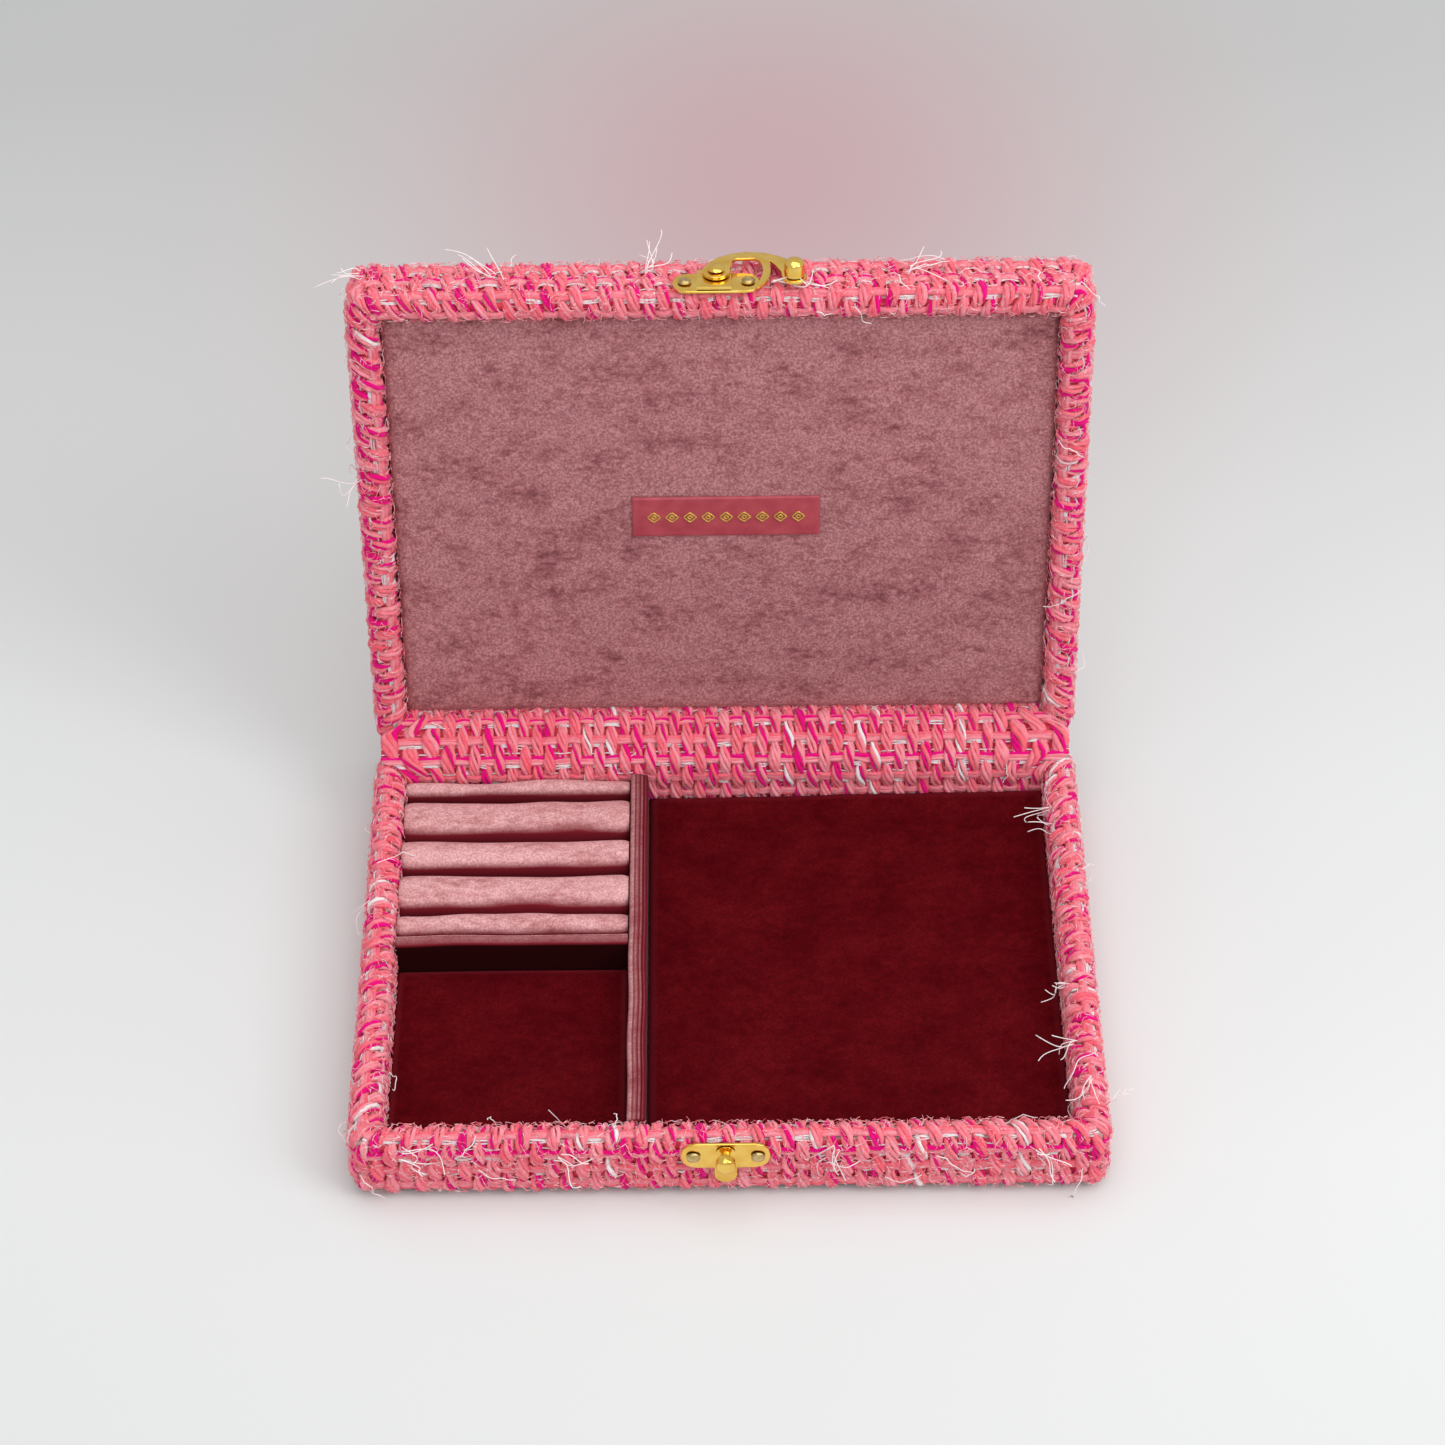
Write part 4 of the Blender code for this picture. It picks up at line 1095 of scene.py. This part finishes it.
def outerHinge():
    out = boxShape["halfY"] + 0.0002
    leg = outerStrip["leg"] + boxShape["rim"]
    path = [(out, boxShape["trayTop"] - leg), (out, boxShape["hinge"][2]),
            lidPoint(0.0002, boxShape["lidMouth"] + leg)]
    widths = [(0.0, outerStrip["half"]), (1.0, outerStrip["half"])]
    hingeCloth("outer", roundPath(path, 0.0020), widths, -1.0, outerStrip, 900, (0.0003, 0.0008),
               "outer_hinge_cloth")


innerHinge()
outerHinge()
strayThreads("tray", trayGuide(cover["under"]), 1.0, 0.0, None, 3)
strayThreads("lid", lidGuide(cover["under"]), -1.0, -boxShape["halfY"], lidPlace, 8)
lidTopFuzz()
threadTufts()
print("hinge cloths woven and loose threads laid")


# ---- velvet: lining, floors, dividers and ring rolls

def ripple(points, seed, size, depth):
    # a smooth small wave for hand-glued cloth, from a few sines
    generator = np.random.default_rng(seed)
    total = np.zeros(len(points))
    for _ in range(7):
        way = generator.normal(size=3)
        way /= np.linalg.norm(way)
        long = size * generator.uniform(0.6, 1.8)
        total += np.sin(points @ way * math.tau / long + generator.uniform(0, 6.3))
    return total * depth / 3.0


def cushion(name, low, high, crown, edge, material, steps, matrix=None, seed=1, wave=0.0):
    # a closed pad: flat underneath, crowned on top, with softly rounded edges
    low = Vector(low)
    high = Vector(high)
    columns, rows = steps

    def build(work):
        grids = []
        for side in (0, 1):
            grid = []
            for j in range(rows + 1):
                line = []
                for i in range(columns + 1):
                    a = i / columns
                    b = j / rows
                    x = low.x + (high.x - low.x) * a
                    y = low.y + (high.y - low.y) * b
                    reach = min(a * (high.x - low.x), (1 - a) * (high.x - low.x),
                                b * (high.y - low.y), (1 - b) * (high.y - low.y))
                    fall = max(0.0, 1.0 - reach / edge)
                    top = high.z - crown * (1.0 - min(1.0, math.sin(math.pi * a) * 3.0)
                                            * min(1.0, math.sin(math.pi * b) * 3.0))
                    top -= edge * (1.0 - math.sqrt(max(0.0, 1.0 - fall * fall)))
                    line.append(work.verts.new((x, y, top if side else low.z)))
                grid.append(line)
            grids.append(grid)
        slabFaces(work, *grids)

    mesh = meshOf(name, build)
    points = fromMesh(mesh)
    if wave:
        points[:, 2] += np.where(points[:, 2] > (low.z + high.z) / 2, ripple(points, seed, 0.03, wave), 0.0)
    if matrix is not None:
        points = moveBy(points, matrix)
    intoMesh(mesh, points)
    return keepPiece(name, mesh, material)


liningShape = {"halfX": 0.0911, "halfY": 0.0661, "low": 0.00435, "high": 0.0145}


def lidLining():
    # built face down in the lid's own frame, then turned over
    flipOver = (lidPlace @ Matrix.Translation((0.0, -boxShape["halfY"], 0.0))
                @ Matrix.Rotation(math.pi, 4, "X"))
    halfX = liningShape["halfX"]
    halfY = liningShape["halfY"]
    pad = cushion("lidLining", (-halfX, -halfY, -liningShape["high"]), (halfX, halfY, -liningShape["low"]),
                  0.0002, 0.0012, liningLook, (110, 80), flipOver, 3, 0.00018)
    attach(pad, "lid")
    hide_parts("lid_lining")


def floorPads():
    for name, node, seed in (("rightFloorPad", "right_floor_pad", 5), ("leftFloorPad", "left_floor_pad", 6)):
        low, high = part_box(node)
        pad = cushion(name, low, high, 0.0002, 0.0011, darkLook, (80, 90), None, seed, 0.00015)
        points = fromMesh(pad.data)
        if node == "right_floor_pad":
            turnedUp = easeStep(points[:, 1], high.y - 0.0065, high.y - 0.0012)
            rise = np.interp(points[:, 0], (low.x, high.x), (0.0016, 0.0030))
            points[:, 2] += np.where(points[:, 2] > high.z - 0.002, rise * turnedUp, 0.0)
            intoMesh(pad.data, points)
        # painted highlight: the pad's colour is lighter along its edges by the walls, with a touch of painted
        # shade at the very edge
        reach = np.minimum(np.minimum(points[:, 0] - low.x, high.x - points[:, 0]),
                           np.minimum(points[:, 1] - low.y, high.y - points[:, 1]))
        paintShading(pad.data, 0.7 * (1.0 - easeStep(reach, 0.0, 0.0025)))
        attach(pad, "tray")
        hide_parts(node)


sleeveShape = {"thick": 0.0009, "dent": 0.00038, "steps": 80, "dentWide": 0.10}


def foldedSleeve(name, node, shadedFolds, shades, seed):
    # an upside-down U of velvet over a card divider; its folds are the places of the creases along its top,
    # which get painted shade, and shades are (place, painted shade) pairs across it, both counted from -1 to
    # 1
    low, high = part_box(node)
    along = 0 if high.x - low.x > high.y - low.y else 1
    across = 1 - along
    half = (high[across] - low[across]) / 2
    middle = (high[across] + low[across]) / 2
    thick = sleeveShape["thick"]
    outer = [(-half, low.z), (-half, low.z + 0.003), (-half, high.z - 0.004), (-half, high.z - 0.002)]
    for step in range(33):
        angle = math.radians(180.0 - 180.0 * step / 32)
        u = half * math.copysign(abs(math.cos(angle)) ** 0.85, math.cos(angle))
        v = high.z - half * 0.50 + half * 0.50 * math.sin(angle)
        dent = sum(math.exp(-((u / half - fold) / sleeveShape["dentWide"]) ** 2) for fold in shadedFolds)
        outer.append((u, v - dent * sleeveShape["dent"]))
    outer += [(half, high.z - 0.002), (half, high.z - 0.004), (half, low.z + 0.003), (half, low.z)]
    ceiling = high.z - thick - 0.0012
    inside = half - thick
    inner = [(inside, low.z), (inside, ceiling), (-inside, ceiling), (-inside, low.z)]
    count = sleeveShape["steps"]

    def build(work):
        rings = []
        for i in range(count + 1):
            far = low[along] + (high[along] - low[along]) * i / count
            ring = []
            for u, v in outer + inner:
                point = [0.0, 0.0, v]
                point[across] = middle + u
                point[along] = far
                ring.append(work.verts.new(point))
            rings.append(ring)
        skinLoops(work, rings, caps=True)

    mesh = meshOf(name, build)
    points = fromMesh(mesh)
    # painted shade: darker stripes across the top, darker creases and darker sides
    place = (points[:, across] - middle) / half
    drop = high.z - points[:, 2]
    shade = np.interp(place, [pair[0] for pair in shades], [pair[1] for pair in shades])
    for fold in shadedFolds:
        shade += 0.35 * np.exp(-((place - fold) / (sleeveShape["dentWide"] * 0.8)) ** 2)
    sides = np.where(place < 0, shades[0][1], shades[-1][1]) * easeStep(drop, 0.0012, 0.0030)
    paintShading(mesh, np.maximum(shade, sides))
    wave = ripple(points * np.array((1.0, 1.0, 0.2)), seed, 0.022, 0.00014)
    upper = points[:, 2] > high.z - 0.0035
    points[:, across] += np.where(upper, wave, 0.0)
    points[:, 2] += np.where(upper, wave * 0.8, 0.0)
    intoMesh(mesh, points)
    piece = keepPiece(name, mesh, rollLook)
    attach(piece, "tray")
    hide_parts(node)
    return piece


def ringRolls():
    for number in range(1, 6):
        node = f"ring_roll_{number}"
        low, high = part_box(node)
        half = (high.y - low.y) / 2
        middle = (high.y + low.y) / 2
        spring = low.z + (high.z - low.z) * 0.45
        outline = [(-half * 0.94, low.z), (-half, low.z + 0.003)]
        for step in range(19):
            angle = math.radians(180.0 - 10.0 * step)
            squared = math.copysign(abs(math.cos(angle)) ** 0.8, math.cos(angle))
            outline.append((half * squared, spring + (high.z - spring) * math.sin(angle) ** 0.9
                            if math.sin(angle) > 1e-6 else spring))
        outline += [(half, low.z + 0.003), (half * 0.94, low.z)]
        count = 60

        def build(work):
            rings = []
            for i in range(count + 1):
                t = i / count
                far = low.x + (high.x - low.x) * t
                end = min(t, 1 - t) * (high.x - low.x)
                pinch = 1.0 - 0.04 * max(0.0, 1.0 - end / 0.0022) ** 2
                ring = []
                for u, v in outline:
                    sink = 0.0004 * max(0.0, 1.0 - end / 0.0022) ** 2 if v > spring else 0.0
                    ring.append(work.verts.new((far, middle + u * pinch, v - sink)))
                rings.append(ring)
            skinLoops(work, rings, caps=True)

        mesh = meshOf(f"ringRoll{number}", build)
        points = fromMesh(mesh)
        wave = ripple(points * np.array((1.0, 0.5, 0.2)), 40 + number, 0.024, 0.00045)
        upper = np.clip((points[:, 2] - spring) / (high.z - spring), 0.0, 1.0)
        points[:, 2] += wave * upper
        points[:, 1] += ripple(points * np.array((1.0, 0.0, 0.0)), 60 + number, 0.03, 0.00025) * upper
        intoMesh(mesh, points)
        # painted shade: each roll's front and back flanks and lower sides are coloured darker than its crown
        drop = (high.z - points[:, 2]) / (high.z - low.z)
        front = points[:, 1] < middle
        edge = ripple(points, 80 + number, 0.02, 0.03)
        toFront = 0.72 * easeStep(drop + edge * 0.4, 0.030, 0.200)
        toBack = 0.8 * easeStep(drop, 0.10, 0.30)
        paintShading(mesh, np.where(front, toFront, toBack) + 0.38 * easeStep(drop, 0.30, 0.55))
        piece = keepPiece(f"ringRoll{number}", mesh, rollLook)
        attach(piece, "tray")
        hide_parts(node)


lidLining()
floorPads()
# the pairs after each divider's creases give its painted shade across the top; the cross divider's front face
# is painted near black
divider = foldedSleeve("dividerSleeve", "divider_velvet_sleeve", (-0.42, 0.08, 0.52),
                       ((-1.0, 0.55), (-0.85, 0.24), (-0.5, 0.22), (-0.2, 0.42), (0.3, 0.42), (0.6, 0.50),
                        (1.0, 0.75)), 7)
crossDivider = foldedSleeve("crossDividerSleeve", "cross_divider_velvet_sleeve", (0.62,),
                            ((-1.0, 1.0), (-0.9, 0.66), (-0.6, 0.52), (0.2, 0.40), (0.5, 0.38), (0.8, 0.12),
                             (1.0, 0.3)), 8)
ringRolls()
print("velvet parts ready")


def softEdges(mesh, flattest, sharpest, **bevel):
    # join the flat triangles into faces, then round every edge that turns more than sharpest
    work = bmesh.new()
    work.from_mesh(mesh)
    bmesh.ops.remove_doubles(work, verts=work.verts, dist=1e-5)
    bmesh.ops.dissolve_limit(work, angle_limit=flattest, verts=work.verts, edges=work.edges)
    edges = [e for e in work.edges if len(e.link_faces) == 2 and e.calc_face_angle() > sharpest]
    bmesh.ops.bevel(work, geom=edges, affect="EDGES", **bevel)
    bmesh.ops.recalc_face_normals(work, faces=work.faces)
    work.to_mesh(mesh)
    work.free()
    mesh.shade_smooth()


def underFelt():
    mesh = bpy.data.meshes.new_from_object(frame["nodes"]["underside_felt"])
    softEdges(mesh, 0.02, 1.0, offset=0.0003, segments=2)
    felt = keepPiece("baseFelt", mesh, feltLook)
    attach(felt, "tray")
    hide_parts("underside_felt")


underFelt()


# ---- label with a row of plain stitched lozenges

labelShape = {"halfX": 0.0260, "halfY": 0.0065, "thick": 0.0006, "x": 0.0010, "fromHinge": 0.0765,
              "face": 0.00435}
stitchShape = {"Count": 9, "Spacing": 0.0050, "Tall": 0.0032, "Wide": 0.0036, "Thread": 0.00028}


def lozengeTree():
    tree, size = sizeTree("stitchedLozenges", stitchShape)
    both = tree.nodes.new("GeometryNodeJoinGeometry")
    for radius in (0.5, 0.2):
        quad = result(tree, "GeometryNodeCurvePrimitiveCircle", {"Resolution": 4, "Radius": radius})
        tree.links.new(quad, both.inputs[0])
    cut = result(tree, "GeometryNodeResampleCurve", {"Curve": both.outputs[0], "Count": 17})
    index = tree.nodes.new("GeometryNodeInputIndex").outputs[0]
    half = times(minus(size["Count"], 1.0), 0.5)
    place = vector(tree, times(minus(index, half), size["Spacing"]))
    spots = result(tree, "GeometryNodePoints", {"Count": size["Count"], "Position": place})
    copies = result(tree, "GeometryNodeInstanceOnPoints",
                    {"Points": spots, "Instance": cut,
                     "Scale": vector(tree, size["Wide"], size["Tall"], 1.0)})
    real = result(tree, "GeometryNodeRealizeInstances", {"Geometry": copies})
    return endTree(tree, thicken(tree, real, 5, size["Thread"], False), stitchLook)


def lidLabel():
    onLid = (lidPlace @ Matrix.Translation((labelShape["x"], -labelShape["fromHinge"], 0.0))
             @ Matrix.Rotation(math.pi, 4, "X"))
    face = -labelShape["face"] + 0.0002
    tag = cushion("lidLabel", (-labelShape["halfX"], -labelShape["halfY"], face),
                  (labelShape["halfX"], labelShape["halfY"], face + labelShape["thick"]), 0.0, 0.0003,
                  satinLook, (90, 30), onLid, 9, 0.00008)
    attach(tag, "lid")
    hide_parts("lid_label")
    mesh = bakeTree("labelStitching", lozengeTree(), {})
    mesh.transform(onLid @ Matrix.Translation((0.0, 0.0, face + labelShape["thick"] + 0.0001)))
    motif = keepPiece("labelStitching", mesh, stitchLook)
    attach(motif, "lid")


lidLabel()
print("label ready")


# ---- latch

def goldPiece(name, mesh, material, body, node):
    piece = keepPiece(name, mesh, material)
    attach(piece, body)
    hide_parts(node)


def softenedCopy(name, node, body, bevel):
    mesh = frame["nodes"][node].data.copy()
    softEdges(mesh, 0.01, 0.9, offset=bevel, segments=3, profile=0.6, clamp_overlap=True)
    mesh.set_sharp_from_angle(angle=math.radians(35.0))
    goldPiece(name, mesh, goldLook, body, node)


def turnedPiece(name, node, body, profile, foot, matrix, material):
    # profile: (radius, distance out of the face) turned about an axis that leaves the face at foot
    sides = 40

    def build(work):
        rings = []
        for radius, out in profile:
            if radius < 1e-7:
                rings.append([work.verts.new((foot[0], foot[1] - out, foot[2]))])
                continue
            ring = []
            for step in range(sides):
                angle = math.tau * step / sides
                ring.append(work.verts.new((foot[0] + radius * math.cos(angle), foot[1] - out,
                                            foot[2] + radius * math.sin(angle))))
            rings.append(ring)
        for first, second in zip(rings, rings[1:]):
            for i in range(sides):
                j = (i + 1) % sides
                if len(first) == 1:
                    work.faces.new((first[0], second[i], second[j]))
                elif len(second) == 1:
                    work.faces.new((first[j], first[i], second[0]))
                else:
                    work.faces.new((first[i], first[j], second[j], second[i]))

    mesh = meshOf(name, build)
    mesh.set_sharp_from_angle(angle=math.radians(40.0))
    mesh.transform(matrix)
    goldPiece(name, mesh, material, body, node)


def roundedEnd(radius, start, height, steps=7):
    spots = []
    for step in range(steps + 1):
        angle = math.radians(90.0 * step / steps)
        spots.append((radius * math.cos(angle) if step < steps else 0.0, start + height * math.sin(angle)))
    return spots


latchShape = {"x": -0.0010, "nail": 0.0085, "catchZ": 0.0169, "claspZ": 0.00495, "pivotZ": 0.00715,
              "studZ": 0.0185, "bevel": 0.00022, "hookBevel": 0.00025}


def latch():
    softenedCopy("catchPlate", "catch_plate", "tray", latchShape["bevel"])
    softenedCopy("claspPlate", "clasp_plate", "lid", latchShape["bevel"])
    softenedCopy("claspBridge", "clasp_bridge", "lid", latchShape["bevel"])
    softenedCopy("claspHook", "clasp_hook", "hook", latchShape["hookBevel"])
    head = 0.0014
    nail = [(0.0, -0.0038), (0.0006, -0.0038), (0.0006, head), (0.0018, head), (0.0019, head + 0.0002)]
    nail += roundedEnd(0.0017, head + 0.0002, 0.0007)
    half = boxShape["halfY"]
    for side, word in ((-1, "left"), (1, "right")):
        x = latchShape["x"] + side * latchShape["nail"]
        turnedPiece(f"catchNail{word.title()}", f"catch_nail_{word}", "tray", nail,
                    (x, -half, latchShape["catchZ"]), Matrix(), nailLook)
        turnedPiece(f"claspNail{word.title()}", f"clasp_nail_{word}", "lid", nail,
                    (x, -2 * half, latchShape["claspZ"]), lidPlace, nailLook)
    stud = [(0.0, 0.0014), (0.0025, 0.0014), (0.0025, 0.0017), (0.0014, 0.0020), (0.0014, 0.0038),
            (0.0023, 0.0040), (0.0026, 0.0043)] + roundedEnd(0.0026, 0.0060, 0.0012)
    turnedPiece("catchStud", "catch_stud", "tray", stud, (latchShape["x"], -half, latchShape["studZ"]),
                Matrix(), goldLook)
    rivet = [(0.0, -0.0012), (0.0010, -0.0012), (0.0010, 0.0038), (0.0021, 0.0038), (0.0023, 0.0040)]
    rivet += roundedEnd(0.0023, 0.0040, 0.0008)
    turnedPiece("pivotRivet", "pivot_rivet", "lid", rivet,
                (latchShape["x"], -2 * half, latchShape["pivotZ"]), lidPlace, goldLook)


def hookKnob():
    # turned about the knob's own axis, which leans with the open lid
    out = (lidPlace.to_3x3() @ Vector((0.0, -1.0, 0.0))).normalized()
    low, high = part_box("hook_knob")
    reach = 0.0025
    profile = [(0.0, -reach), (0.0024, -reach), (0.0027, -reach + 0.0003)]
    profile += roundedEnd(0.0027, reach - 0.0015, 0.0015)
    middle = (low + high) / 2
    turn = out.rotation_difference(Vector((0.0, -1.0, 0.0))).inverted().to_matrix().to_4x4()
    place = Matrix.Translation(middle) @ turn
    turnedPiece("hookKnob", "hook_knob", "hook", profile, (0.0, 0.0, 0.0), place, goldLook)


latch()
hookKnob()
print("latch ready")

for nodeName, node in frame["nodes"].items():
    look = {"board": boardLook, "base": foamLook}.get(nodeName.rsplit("_", 1)[-1])
    if look is None:
        continue
    for materialSlot in node.material_slots:
        materialSlot.material = look

shown = [piece for piece in bpy.data.objects if piece.type == "MESH" and not piece.hide_render]
counts = {piece.name: len(piece.data.loops) - 2 * len(piece.data.polygons) for piece in shown}
print("triangles", sum(counts.values()), "most", sorted(counts.items(), key=lambda pair: -pair[1])[:4])
